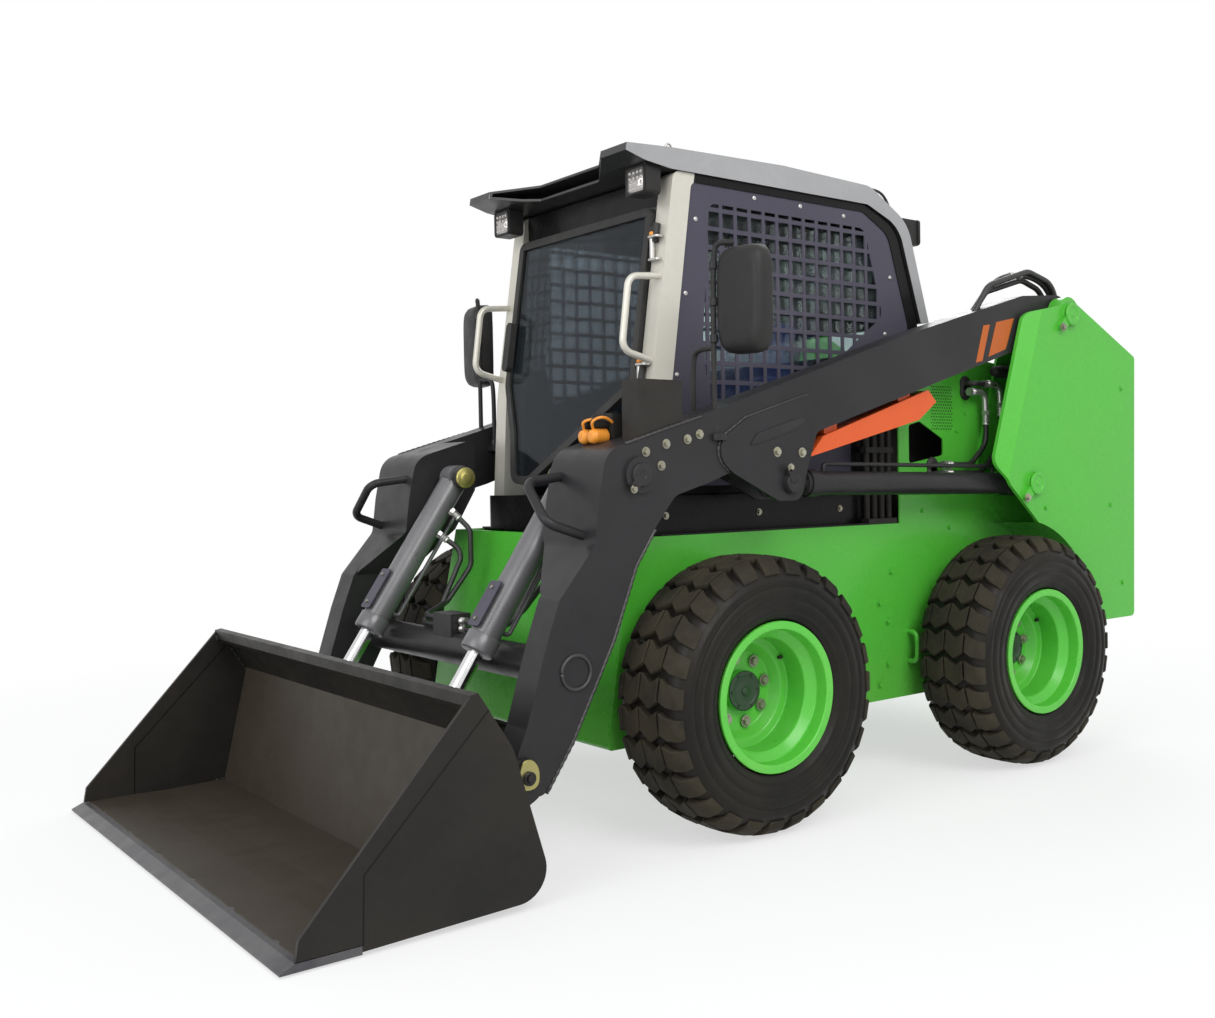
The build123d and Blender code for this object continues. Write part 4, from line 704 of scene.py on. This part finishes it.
def rear_axle(rows):
    """(x, z) pairs in metres from pairs in mm measured from the rear axle."""
    return [(x / 1000 + REAR_AXLE, z / 1000) for x, z in rows]


def doubler_edges(arm, out):
    """Runs of points along the doubler's rim, where the arm's outer face goes on beyond it."""
    hub, between = Vector((0.165, 0, 1.17)), 0.731
    runs, run = [], []
    for angle in range(0, 361, 3):
        way = Vector((cos(radians(angle)), 0, sin(radians(angle))))

        def height(reach):
            spot = hub + way * reach
            return max((abs(place.y) for place in on_side(arm, [(spot.x, spot.z)], out)), default=0.0)

        near, far = 0.02, 0.36
        for _ in range(12):
            middle = (near + far) / 2
            if height(middle) > between:
                near = middle
            else:
                far = middle
        if 0.72 < height(far + 0.006) < between:
            rim = hub + way * (far + 0.001)
            run.append((rim.x, 0.7255 * out, rim.z))
        elif run:
            runs.append(run)
            run = []
    runs.append(run)
    return [points for points in runs if len(points) > 3]


# --- Wheels: hub caps with their screws, valves
HUB_CAP = [(-0.002, 0.0615), (0.002, 0.0615), (0.0035, 0.0595), (0.0035, 0.047), (0.0015, 0.045),
    (0.0015, 0.014), (0.006, 0.0125), (0.0075, 0.008)]
VALVE = [(0.0, 0.004), (0.022, 0.004), (0.023, 0.0055), (0.034, 0.0055), (0.036, 0.003)]
for wheel, out in WHEELS:
    mid, body, way = middle_of(f"{wheel}_rim"), f"{wheel}_wheel", (0, out, 0)
    hub = on_side(f"{wheel}_rim", [(mid.x, mid.z)], out)[0]
    screws = [bolt((hub.x + x, hub.y + 0.0035 * out, hub.z + z), way, 0.009, False)
        for x, z in circle(0.052, 6)]
    fitted(f"{wheel}_hub_cap", joined([turned(HUB_CAP, hub, way, 40)] + screws), hub_dark, body,
        edge=(0.0004, 1))
    fitted(f"{wheel}_valve", turned(VALVE, (mid.x - 0.13, hub.y - 0.012 * out, mid.z + 0.085),
        (-0.25, out, 0.2), 12), rubber, body, True)

# --- Lift arms: stripes, welds, bolts
STRIPES = [[(-0.907, 1.609), (-0.944, 1.615), (-0.899, 1.48), (-0.862, 1.472)],
    [(-0.982, 1.626), (-1.087, 1.648), (-1.036, 1.53), (-0.934, 1.496)]]
SWELL = [(0.243, 1.172), (0.222, 1.17), (0.04, 1.222), (0.008, 1.25), (0.026, 1.262), (0.214, 1.205)]
LEG_REAR = rear_axle([(1640, 926), (1708, 826), (1792, 618), (1936, 350), (2022, 226)])
KNEE_TOP = rear_axle([(1464, 1255), (1600, 1216), (1740, 1174)])
ARM_FACE, DOUBLER_FACE = 0.725, 0.736
TILT_PIN, LIFT_PIN, FOOT_PIN, TORSION_TUBE = (0.655, 1.084), (0.075, 1.051), (1.055, 0.285), (0.88, 0.544)
FOOT_EAR = smooth_rim([(-0.034, -0.03), (0.03, -0.034), (0.036, 0.02), (0.012, 0.052), (-0.022, 0.046)])
FOOT_END = [(-0.002, 0.019), (0.009, 0.019), (0.011, 0.016), (0.011, 0.011), (0.017, 0.0105),
    (0.018, 0.008)]
ZINC_CAP = [(-0.003, 0.036), (0.006, 0.036), (0.009, 0.033), (0.009, 0.02), (0.012, 0.018), (0.012, 0.006)]


def in_arm_plane(u, v, w):
    return Vector((u, w, v))


for side, out in SIDES:
    arm, way = f"lift_arm_{side}", (0, out, 0)
    parts = []
    for rim in STRIPES:
        seat = on_side(arm, [rim[0]], out)[0].y
        parts.append(prism(rim, in_arm_plane, seat - 0.001 * out, 0.0018 * out))
    fitted(f"arm_stripes_{side}", joined(parts), stripe_paint, "arms")
    for index, run in enumerate(doubler_edges(arm, out)):
        bead(f"doubler_weld_{index}_{side}", run, 0.0045, "arms")
    bead(f"leg_weld_{side}", [(x, (ARM_FACE - 0.001) * out, z) for x, z in LEG_REAR], 0.0055, "arms")
    bead(f"knee_weld_{side}", [(x, ARM_FACE * out, z) for x, z in KNEE_TOP], 0.0045, "arms")
    rim = [(p.x, p.z) for p in smooth_line([(x, 0, z) for x, z in SWELL], 2)]
    fitted(f"doubler_swell_{side}", prism(rim, in_arm_plane, DOUBLER_FACE * out, 0.0045 * out), charcoal,
        "arms", edge=(0.0022, 2, 50))
    knee = on_side(arm, [(0.63, 1.15), (0.556, 1.173), (0.575, 1.11), (0.477, 1.187), (0.431, 1.202)], out)
    bolts(f"knee_bolts_{side}", knee, way, 0.02, "arms")
    bolts(f"bracket_bolts_{side}", on_side(arm, [(0.024, 1.147), (0.131, 1.149)], out), way, 0.022, "arms")
    # covers of the tilt cylinder's and the lift rod's pins, each with a locking tab and its bolt
    for label, (x, z), radius, lock in (("tilt", TILT_PIN, 0.034, -50), ("lift", LIFT_PIN, 0.031, 70)):
        seat = on_side(arm, [(x, z)], out)[0]
        cover = turned([(-0.002, radius), (0.007, radius), (0.009, radius - 0.002), (0.009, 0.012),
            (0.0075, 0.0105)], seat, way, 32)
        a = radians(lock)
        tip = Vector((x + 0.052 * cos(a), seat.y, z + 0.052 * sin(a)))
        tab = plate_on([(c * 0.34, v) for c, v in rounded(0.13, 0.026, 0.012)], (seat + tip) / 2, way,
            0.011, (-sin(a), 0, cos(a)))
        fitted(f"{label}_pin_cover_{side}", joined([cover, tab]), charcoal, "arms",
            edge=(0.0009, 1))
        bolts(f"{label}_lock_bolt_{side}", [(tip.x, seat.y + 0.009 * out, tip.z)], way, 0.017, "arms")
    # zinc ear and nut on the end of the foot pin
    pin = on_side("coupler_frame", [FOOT_PIN], out)[0]
    fitted(f"foot_pin_ear_{side}", plate_on(FOOT_EAR, pin, way, 0.005), zinc, "bucket",
        edge=(0.001, 1))
    fitted(f"foot_pin_end_{side}", turned(FOOT_END, pin + Vector((0, 0.003 * out, 0)), way), moulded,
        "bucket")
    ring = [(TORSION_TUBE[0] + u, (ARM_FACE + 0.0015) * out, TORSION_TUBE[1] + v) for u, v in circle(0.047,
        48)]
    fitted(f"torsion_ring_{side}", tube(ring + ring[:1], 0.0062), weld, "arms", True)
    # yellow zinc cap on the inner end of the tilt cylinder's pin
    fitted(f"tilt_pin_cap_{side}", turned(ZINC_CAP, (TILT_PIN[0], 0.3 * out, TILT_PIN[1]), (0, -out, 0),
        32), zinc, "arms", edge=(0.0008, 1))


def ferrule(at, way, radius, length=0.042):
    """A crimped sleeve with a hexagon nut at its far end."""
    rows = [(0, radius), (0.003, radius + 0.0035)]
    for k in range(3):
        rows += [(0.006 + k * length / 5, radius + 0.0035), (0.008 + k * length / 5, radius + 0.002)]
    rows += [(length * 0.72, radius + 0.0035), (length * 0.75, radius + 0.001), (length, radius + 0.001)]
    lay, base = round_frame(way), Vector(at)
    nut = prism(circle(radius + 0.005, 6), lambda u, v, w: base + lay @ Vector((u, v, w)), length * 0.78,
        length * 0.3)
    return joined([turned(rows, at, way, 20), nut])


# --- Cylinders: glands, guard plates, hose ends, wipers
TILT_Y, TILT_ROD_EYE = 0.37, (1.101, 0.412)
LIFT_Y, LIFT_BASE = 0.6725, (-1.12, 1.03)
GLAND = [(-0.054, 0.0465), (-0.053, 0.0508), (-0.006, 0.0508), (-0.001, 0.0495), (0.0025, 0.045),
    (0.0025, 0.0255)]
for side, out in SIDES:
    barrel = f"tilt_barrel_{side}"
    base, eye = (Vector((x, TILT_Y * out, z)) for x, z in (TILT_PIN, TILT_ROD_EYE))
    way = (eye - base).normalized()
    fitted(f"tilt_gland_{side}", turned(GLAND, base + way * 0.61, way, 40), tube_grey, barrel,
        edge=(0.0006, 1))
    front = Vector((-way.z, 0, way.x))
    middle = base + way * 0.475
    plates = [plate_on(rounded(0.062, 0.15, 0.008), middle + front * 0.0505, front, 0.004, way)]
    plates += [plate_on(rounded(0.05, 0.016, 0.003), middle + way * along + front * 0.0435, front, 0.0085,
        way) for along in (-0.052, 0.052)]
    fitted(f"tilt_shield_{side}", joined(plates), slate, barrel, edge=(0.0012, 1))
    heads = [middle + front * 0.0545 + way * along for along in (-0.052, 0.052)]
    bolts(f"tilt_shield_bolts_{side}", heads, front, 0.012, barrel, washer=False)
    # crimped ends of the tilt hoses, at the torsion tube and up by the barrels
    ends = []
    for lift, shift in ((0.632, 0.0), (0.608, 0.026)):
        ends.append(ferrule((0.875, 0.062 * out, lift), (0, out, 0), 0.0092, 0.034))
        high = Vector((0.712 + shift * 2, 0.305 * out, 0.975 - 3 * shift))
        low = Vector((0.662 + shift, 0.258 * out, 0.905 - 3 * shift))
        run = (high - low).normalized()
        ends.append(ferrule(high - run * 0.045, run, 0.0092, 0.038))
    crisp(fitted(f"tilt_hose_ends_{side}", joined(ends), silver_plate, "arms", True))
    base, eye = (Vector((x, LIFT_Y * out, z)) for x, z in (LIFT_BASE, LIFT_PIN))
    way = (eye - base).normalized()
    wiper = turned([(0.0, 0.039), (0.003, 0.037), (0.004, 0.0245)], base + way * 1.08, way, 40)
    fitted(f"lift_wiper_{side}", wiper, rubber, f"lift_barrel_{side}")

# --- Mirrors: tubes on the arms with deep moulded heads
MIRROR_X, MIRROR_SIZE = 0.36, (0.178, 0.322, 0.068)
OUTLINE_POWER, COLUMNS = 5.0, 48
SHELL = [(-0.5, 0.9), (-0.5, 0.985), (-0.38, 1.0), (0.05, 0.985), (0.3, 0.94), (0.44, 0.86), (0.5, 0.72)]


def housing(centre, lay, width, height, depth):
    """A moulded shell: superellipse outline, deep and crowned in front, flat behind at its glass."""
    verts = []
    for s, share in SHELL:
        for c, n in circle(1.0, COLUMNS):
            r = 1 / (abs(c) ** OUTLINE_POWER + abs(n) ** OUTLINE_POWER) ** (1 / OUTLINE_POWER)
            verts.append(centre + lay @ Vector((s * depth, c * r * share * width / 2,
                n * r * share * height / 2)))
    ends = [tuple(range(COLUMNS)), tuple(range(len(verts) - COLUMNS, len(verts)))]
    return verts, rings(len(SHELL), COLUMNS) + ends


for side, out in SIDES:
    centre, lay = Vector((0.318, 0.803 * out, 1.602)), Matrix.Rotation(0.16 * out, 3, "Z")
    fitted(f"mirror_head_{side}", housing(centre, lay, *MIRROR_SIZE), moulded, "arms",
        edge=(0.004, 2, 50))
    rim = [(u * 0.93, v * 0.965) for u, v in rounded(0.168, 0.306, 0.03, 6)]
    fitted(f"mirror_glass_{side}", plate_on(rim, centre + lay @ Vector((-0.0345, 0, 0)),
        lay @ Vector((-1, 0, 0)), 0.0012), mirror_face, "arms")
    upright = sided([(MIRROR_X, 0.712, 1.215), (MIRROR_X, 0.712, 1.5), (MIRROR_X, 0.716, 1.755),
        (0.352, 0.735, 1.777), (0.33, 0.775, 1.772)], out)
    brace = sided([(MIRROR_X, 0.714, 1.462), (MIRROR_X, 0.64, 1.464), (MIRROR_X, 0.61, 1.44),
        (MIRROR_X, 0.61, 1.225)], out)
    fitted(f"mirror_tubes_{side}", joined([pipe(upright, 0.0085, 12), pipe(brace, 0.0085, 12)]), moulded,
        "arms", True)
    clips = [turned([(0, 0.013), (0.024, 0.013)], (MIRROR_X, 0.715 * out, z - 0.012), (0, 0, 1), 16)
        for z in (1.49, 1.6, 1.71)]
    clips += [turned([(0, 0.014), (0.022, 0.014), (0.024, 0.011)], (MIRROR_X, y * out, 1.205), (0, 0, 1),
        16) for y in (0.712, 0.61)]
    foot = prism(rounded(0.17, 0.05, 0.012), lambda u, v, w: Vector((MIRROR_X + v, 0.66 * out + u,
        1.196 + w)), -0.012, 0.02)
    fitted(f"mirror_clamps_{side}", joined(clips + [foot]), charcoal, "arms",
        edge=(0.001, 1))
    bolts(f"mirror_bolts_{side}", sided([(0.345, 0.665, 1.204), (0.375, 0.652, 1.204)], out), (0, 0, 1),
        0.018, "arms")
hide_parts("mirrors")

# --- Cab: screws, lamps, hinges, roof fittings
SCREEN_SCREWS = [(-0.021, 2.001), (-0.232, 2.000), (-0.444, 1.992), (0.232, 1.902), (0.278, 1.661),
    (-0.682, 1.795), (-0.652, 1.586), (0.318, 1.4)]
SCREEN_SCREW = [(-0.001, 0.0085), (0.0015, 0.0085), (0.0035, 0.006), (0.004, 0.002)]
for side, out in SIDES:
    screws = [turned(SCREEN_SCREW, p, (0, out, 0), 16) for p in on_side("cab_screens", SCREEN_SCREWS, out)]
    fitted(f"screen_screws_{side}", joined(screws), silver_plate, "chassis", True)
    edge = on_side("cab_floor", [(0.39, 0.955), (0.0, 0.955), (-0.38, 0.955)], out)
    bolts(f"sill_bolts_{side}", edge, (0, out, 0), 0.016, "chassis")

LENS_GRID = 4
DOME = [(-0.001, 0.0066), (0.0015, 0.0062), (0.003, 0.0046), (0.004, 0.002)]


def led_lamp(label, seat, width, height, proud=1.0):
    """A square lamp face: bezel, clear pane and a grid of small domed lenses."""
    centre, way = seat
    lay = frame_of(way)

    def put(u, v, w):
        return centre + lay @ Vector((u, v, w * proud))

    outer, inner = rounded(width, height, 0.012), rounded(width * 0.86, height * 0.87, 0.008)
    n = len(outer)
    verts = [put(u, v, w) for rim, w in ((outer, -0.004), (outer, 0.007), (inner, 0.007), (inner, 0.002))
        for u, v in rim]
    ends = [tuple(range(n)), tuple(range(4 * n - 1, 3 * n - 1, -1))]
    fitted(f"{label}_bezel", (verts, ends + rings(4, n)), moulded, "chassis", edge=(0.0012, 1))
    domes = [prism(inner, put, 0.0015, 0.0015)]
    for i in range(LENS_GRID):
        for j in range(LENS_GRID):
            middle = (LENS_GRID - 1) / 2
            at = put((i - middle) * width * 0.195, (j - middle) * height * 0.2, 0.0028)
            domes.append(turned([(w * proud, r) for w, r in DOME], at, way, 12))
    fitted(f"{label}_lens", joined(domes), lamp_lens, "chassis", True)


for side, out in SIDES:
    led_lamp(f"front_lamp_{side}", seat_at("work_lamps", (1.5, 0.415 * out, 2.01), (-1, 0, 0)), 0.1, 0.086,
        0.6)
    led_lamp(f"rear_lamp_{side}", seat_at("work_lamps", (-1.8, 0.412 * out, 1.985), (1, 0, 0)), 0.09, 0.095)
    eyes = []
    for x in (0.305, -0.62):
        y = 0.435 * out
        foot = seat_at("cab_roof", (x, y, 2.6), (0, 0, -1))[0].z - 0.004
        turns = [pi * k / 10 for k in range(11)]
        eyes.append(tube([(x + 0.016 * cos(t), y, foot + 0.03 * max(sin(t), -0.1)) for t in turns], 0.0035,
            8))
    fitted(f"lifting_eyes_{side}", joined(eyes), silver_plate, "chassis", True)
LEAD = [(-0.56, 0.43, 2.068), (-0.6, 0.44, 2.118), (-0.68, 0.44, 2.116), (-0.735, 0.43, 2.07),
    (-0.76, 0.42, 2.0)]
fitted("lamp_leads", joined([pipe(sided(LEAD, out), 0.005) for _, out in SIDES]), rubber, "chassis",
    True)

# hinges of the cab door: two bright straps on the post, a barrel between and an orange cap
hinge_parts, cap_parts = [], []
for z, x in ((1.8, 0.372), (1.395, 0.432)):
    axis_x = seat_at("cab_posts", (x + 0.6, 0.444, z), (-1, 0, 0))[0].x + 0.014
    for dz in (-0.036, 0.036):
        hinge_parts.append(prism(rounded(0.052, 0.03, 0.008), lambda u, v, w: Vector((axis_x - 0.002 + v,
            0.443 + u, z + dz + w)), -0.004, 0.008))
    hinge_parts.append(turned([(0, 0.0085), (0.064, 0.0085)], (axis_x, 0.428, z - 0.032), (0, 0, 1), 18))
    cap_parts.append(turned([(0, 0.009), (0.01, 0.0085), (0.014, 0.005)], (axis_x, 0.428, z + 0.04),
        (0, 0, 1), 16))
fitted("door_hinges", joined(hinge_parts), silver_plate, "chassis", edge=(0.0012, 1))
fitted("door_hinge_caps", joined(cap_parts), cap_orange, "chassis", True)

# --- Auxiliary couplers: bright sleeves under orange dust caps
COUPLER_Y = (0.516, 0.564)
sleeves = [turned([(0, 0.016), (0.006, 0.018), (0.02, 0.018), (0.022, 0.016)], (0.655, y, 1.198), (1, 0, 0))
    for y in COUPLER_Y]
rows = [(0, 0.0195)]
for k in range(4):
    rows += [(0.004 + k * 0.012, 0.0235), (0.011 + k * 0.012, 0.021)]
rows += [(0.055, 0.018), (0.058, 0.01)]
caps = [turned(rows, (0.655, y, 1.199), (1, 0, 0), 28) for y in COUPLER_Y]
for y, lift in zip(COUPLER_Y, (0.0, 0.006)):
    caps.append(pipe([(0.7, y, 1.22), (0.715, y + 0.012, 1.243), (0.685, y + 0.03, 1.252 + lift),
        (0.64, y + 0.022, 1.238), (0.63, y + 0.004, 1.214)], 0.0045))
fitted("coupler_sleeves", joined(sleeves), silver_plate, "arms", True)
fitted("coupler_caps", joined(caps), cap_orange, "arms", True)

# --- Hose ends: crimped ferrules, elbows and sleeves
HOSE_Y, HOSE_RADIUS = 0.6, 0.0112
STUB = [(0, 0.021), (0.03, 0.024), (0.12, 0.024), (0.128, 0.02), (0.15, 0.02), (0.157, 0.016)]
ARM_HOSE = [(-0.893, 0.671, 1.628), (-0.995, 0.671, 1.752), (-1.09, 0.672, 1.812), (-1.23, 0.672, 1.828),
    (-1.345, 0.671, 1.806), (-1.4, 0.671, 1.75), (-1.396, 0.671, 1.69)]
CRIMP = [(0, 0.0135), (0.003, 0.0145), (0.014, 0.0145), (0.016, 0.0135)]
for side, out in SIDES:
    y, ends = HOSE_Y * out, []
    for z, x in ((1.378, -1.072), (1.41, -1.162)):
        ends.append(pipe([(x + 0.075, y, z), (x + 0.004, y, z), (x - 0.001, y, z - 0.075)], 0.0122, 14))
        ends.append(ferrule((x - 0.002, y, z - 0.125), (-0.01, 0, 1), HOSE_RADIUS, 0.05))
        ends.append(ferrule((x + 0.065, y, z), (1, 0, 0), HOSE_RADIUS, 0.03))
    ends += [ferrule((-0.87, y, z), (1, 0, 0), HOSE_RADIUS, 0.046) for z in (1.104, 1.072)]
    crisp(fitted(f"feed_hose_ends_{side}", joined(ends), silver_plate, "chassis", True))
    stub = [turned(STUB, (-1.28, y, 1.46), (1, 0, 0))]
    stub += [turned([(0, 0.03), (0.006, 0.029), (0.009, 0.024)], (x, 0.56 * out, z), (0, out, 0), 28)
        for x, z in ((-1.0, 1.378), (-1.0, 1.41), (-0.805, 1.104), (-0.805, 1.072))]
    fitted(f"panel_stub_{side}", joined(stub), rubber, "chassis", True)
    # a third hose and the bright crimps on the loops over the arm
    loop = smooth_line(sided(ARM_HOSE, out))
    fitted(f"third_arm_hose_{side}", tube(loop, 0.0105, 12), hose_rubber, "arms", True)
    crimps = [turned(CRIMP, loop[k], loop[k + 1] - loop[k], 18) for k in (22, 25)]
    fitted(f"arm_hose_crimps_{side}", joined(crimps), silver_plate, "arms", True)

# --- Green panels: perforated patch with painted hole shade, screws, tower bolts, tie-down
HOLE = [(0.0048, 0), (0, 0.0036), (-0.0048, 0), (0, -0.0036)]
COVER = [(-0.002, 0.042), (0.004, 0.042), (0.006, 0.039), (0.006, 0.03), (0.003, 0.028), (0.003, 0.01),
    (0.006, 0.008)]
TIE_DOWN = [(-0.665, 0.558, 0.5), (-0.665, 0.6, 0.498), (-0.665, 0.604, 0.445), (-0.665, 0.6, 0.394),
    (-0.665, 0.558, 0.392)]
for side, out in SIDES:
    tower, way, holes = f"tower_{side}", (0, out, 0), []
    # the perforation's holes are flat dark diamonds on the panel face: painted shade of the holes' insides
    for i in range(9):
        for j in range(15):
            x, z = -0.808 - i * 0.0135 - (0.0067 if j % 2 else 0.0), 1.238 + j * 0.0112
            holes.append(prism(HOLE, lambda u, v, w: Vector((x + u, w, z + v)), 0.5597 * out, 0.0007 * out))
    fitted(f"perforation_hole_shade_{side}", joined(holes), hole_shade_paint, "chassis")
    for label, wall, size, slot, mat, places in (("panel_screws", "side_panels", 0.014, "body_green", green,
            [(-0.947, 1.232), (-0.749, 0.936), (-0.9, 0.87), (-1.0, 1.3)]),
            ("frame_screws", "chassis_frame", 0.02, "body_green", green, [(-0.511, 0.615), (-0.554, 0.546),
            (-0.552, 0.394), (-0.509, 0.324), (-0.574, 0.725)]), ("tower_lock_bolts", tower, 0.022,
            "edge_steel", bolt_zinc, [(-1.289, 1.62), (-1.059, 0.978)]), ("tower_screws", tower, 0.013,
            "body_green", green, [(-1.19, 0.936), (-1.62, 0.936), (-1.7, 1.4), (-1.7, 0.62)])):
        bolts(f"{label}_{side}", on_side(wall, places, out), way, size, "chassis", mat)
    for label, place in (("top", (-1.35, 1.672)), ("low", (-1.12, 1.03))):
        seat = on_side(tower, [place], out)[0]
        fitted(f"tower_cover_{label}_{side}", turned(COVER, seat, way, 36), green, "chassis",
            edge=(0.0008, 1))
    fitted(f"tie_down_{side}", pipe(sided(TIE_DOWN, out), 0.009, 12), green, "chassis", True)

# --- Bucket: welds in its corners, a worn plate over its floor
BUCKET_SECTION = [(1.35, 0.036), (1.2, 0.05), (1.155, 0.12), (1.2, 0.3), (1.215, 0.4), (1.25, 0.48),
    (1.292, 0.555)]
BUCKET_INNER_Y = 0.9275 - 0.012
for side, out in SIDES:
    y, seats = BUCKET_INNER_Y * out, []
    for (xa, za), (xb, zb) in zip(BUCKET_SECTION, BUCKET_SECTION[1:]):
        for k in range(4):
            start = Vector((xa + (xb - xa) * k / 4 + 0.25, y - 0.01 * out, za + (zb - za) * k / 4 + 0.06))
            hit, place, normal, _ = nodes["bucket_shell"].ray_cast(start, Vector((-0.97, 0, -0.24)))
            if hit and abs(normal.y) < 0.5:
                seats.append((place.x + normal.x * 0.002, y - 0.001 * out, place.z + normal.z * 0.002))
    if len(seats) > 3:
        bead(f"bucket_weld_{side}", seats, 0.006, "bucket", bucket_paint)
# the plate's front edge has a few notches
FLOOR_STATIONS, FLOOR_HALF, FLOOR_STEPS = [1.21, 1.3, 1.4, 1.5, 1.6, 1.66], 0.913, 74
heights = [seat_at("bucket_shell", (x, 0.4, 0.5), (0, 0, -1))[0].z for x in FLOOR_STATIONS[:4]] + [0.0275,
    0.0275]
lines = [(x, 0.0, z + 0.0015) for x, z in zip(FLOOR_STATIONS, heights)]
lines += [(1.738, 0.01, 0.029), (1.74, 0.01, 0.0255)]
verts, faces = [], []
for row, (x, notch, z) in enumerate(lines):
    verts += [(x - (notch if k % 12 == 6 else 0.0), FLOOR_HALF - k * 2 * FLOOR_HALF / (FLOOR_STEPS - 1), z)
        for k in range(FLOOR_STEPS)]
    if row:
        a, b = (row - 1) * FLOOR_STEPS, row * FLOOR_STEPS
        faces += [(a + k, a + k + 1, b + k + 1, b + k) for k in range(FLOOR_STEPS - 1)]
fitted("bucket_floor_plate", (verts, faces), floor_paint_brown, "bucket")

# --- Seat: padded cushion and back with sewn channels and a side seam, and seat belts
CORNER = 0.035
VOXEL, QUICK_VOXEL = 0.006, 0.009
CLOTH_FRAMES, PUFF_LIMIT = 20, 0.012
CLOTH = {"quality": 5, "mass": 0.4, "tension_stiffness": 18, "compression_stiffness": 18,
    "bending_stiffness": 0.8, "use_pressure": True, "uniform_pressure_force": 4.0}
CHANNEL_DEPTH, RAIL_DEPTH, CHANNEL_WIDTH = 0.009, 0.008, 0.007
RAIL_AT, SEAM_AT, SEAM_WIDTH, SEAM_DEPTH = 0.72, 0.45, 0.09, 0.004


def cushion(name, centre, size, lean, crown, channels):
    """A stuffed pad: width, depth and height, leaning about Y, sewn across at its channels."""
    turn = Matrix.Rotation(lean, 3, "Y")
    half = Vector(size) / 2

    def shape(unit):
        p = Vector((unit.x * half.x, unit.y * half.y, unit.z * half.z))
        for a in range(3):
            inner = half[a] - CORNER
            if abs(p[a]) > inner:
                others = [b for b in range(3) if b != a]
                reach = max(abs(unit[b]) for b in others)
                p[a] = math.copysign(inner + CORNER * (1 - 0.35 * max(0.0, reach - 0.75) / 0.25), p[a])
        return p

    mesh = bmesh.new()
    bmesh.ops.create_cube(mesh, size=2.0)
    bmesh.ops.subdivide_edges(mesh, edges=mesh.edges[:], cuts=9, use_grid_fill=True)
    for vert in mesh.verts:
        vert.co = shape(Vector(vert.co))
    bmesh.ops.recalc_face_normals(mesh, faces=mesh.faces)
    data = bpy.data.meshes.new(name)
    mesh.to_mesh(data)
    mesh.free()
    made = bpy.data.objects.new(name, data)
    scene.collection.objects.link(made)
    data.materials.append(seat_cloth)
    modified(made, "REMESH", mode="VOXEL", voxel_size=VOXEL)
    start = [v.co.copy() for v in data.vertices]
    cloth = made.modifiers.new("stuffing", "CLOTH")
    for key, value in CLOTH.items():
        setattr(cloth.settings, key, value)
    cloth.settings.effector_weights.gravity = 0.0
    for number in range(1, CLOTH_FRAMES + 1):
        scene.frame_set(number)
        bpy.context.view_layer.update()
    view = made.evaluated_get(bpy.context.evaluated_depsgraph_get())
    puffed = [v.co.copy() for v in view.data.vertices]
    made.modifiers.remove(cloth)
    scene.frame_set(1)
    for vert, old, new in zip(data.vertices, start, puffed):
        step = new - old
        if step.length > PUFF_LIMIT:
            step *= PUFF_LIMIT / step.length
        vert.co = old + step
    # sewn channels and a seam round the sides pull the cover in
    sewn = [(0 if crown == 2 else 2, place, CHANNEL_DEPTH) for place in channels]
    sewn += [(1, place, RAIL_DEPTH) for place in (-RAIL_AT, RAIL_AT)]
    for vert in data.vertices:
        p = vert.co
        top = max(0.0, min(1.0, p[crown] / half[crown] + 0.2))
        for axis, place, depth in sewn:
            p[crown] -= depth * math.exp(-((p[axis] - place * half[axis]) / CHANNEL_WIDTH) ** 2) * top
        pull = SEAM_DEPTH * math.exp(-((p[crown] / half[crown] - SEAM_AT) / SEAM_WIDTH) ** 2)
        for a in range(3):
            if a != crown and abs(p[a]) > half[a] * 0.8:
                p[a] -= math.copysign(pull, p[a])
    for vert in data.vertices:
        vert.co = Vector(centre) + turn @ vert.co
    modified(made, "SUBSURF", levels=1)
    smoothed(data)
    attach(made, "chassis")
    return made


SEAT_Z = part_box("seat_cushion")[0][2]
seat_pan = cushion("seat_pan", (-0.185, 0.0, SEAT_Z + 0.062), (0.41, 0.44, 0.105), 0.0, 2,
    (-0.4, 0.1, 0.55))
cushion("seat_back", (-0.395, 0.0, SEAT_Z + 0.315), (0.1, 0.43, 0.44), -0.16, 0, (-0.5, 0.0, 0.45))
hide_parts("seat_cushion")
BELT = [(-0.36, 0.2, 1.15), (-0.3, 0.238, 1.19), (-0.24, 0.228, 1.245), (-0.2, 0.15, 1.252),
    (-0.18, 0.06, 1.25)]
for side, out in SIDES:
    belt = smooth_line(sided(BELT, out))
    verts = [p + Vector((x, 0, z)) for p in belt for x, z in ((-0.022, 0), (0.022, 0), (0.022, 0.0025),
        (-0.022, 0.0025))]
    faces = rings(len(belt), 4) + [(0, 1, 2, 3), tuple(range(len(verts) - 4, len(verts)))]
    fitted(f"seat_belt_{side}", (verts, faces), moulded, "chassis")

scene.view_settings.view_transform = "Standard"
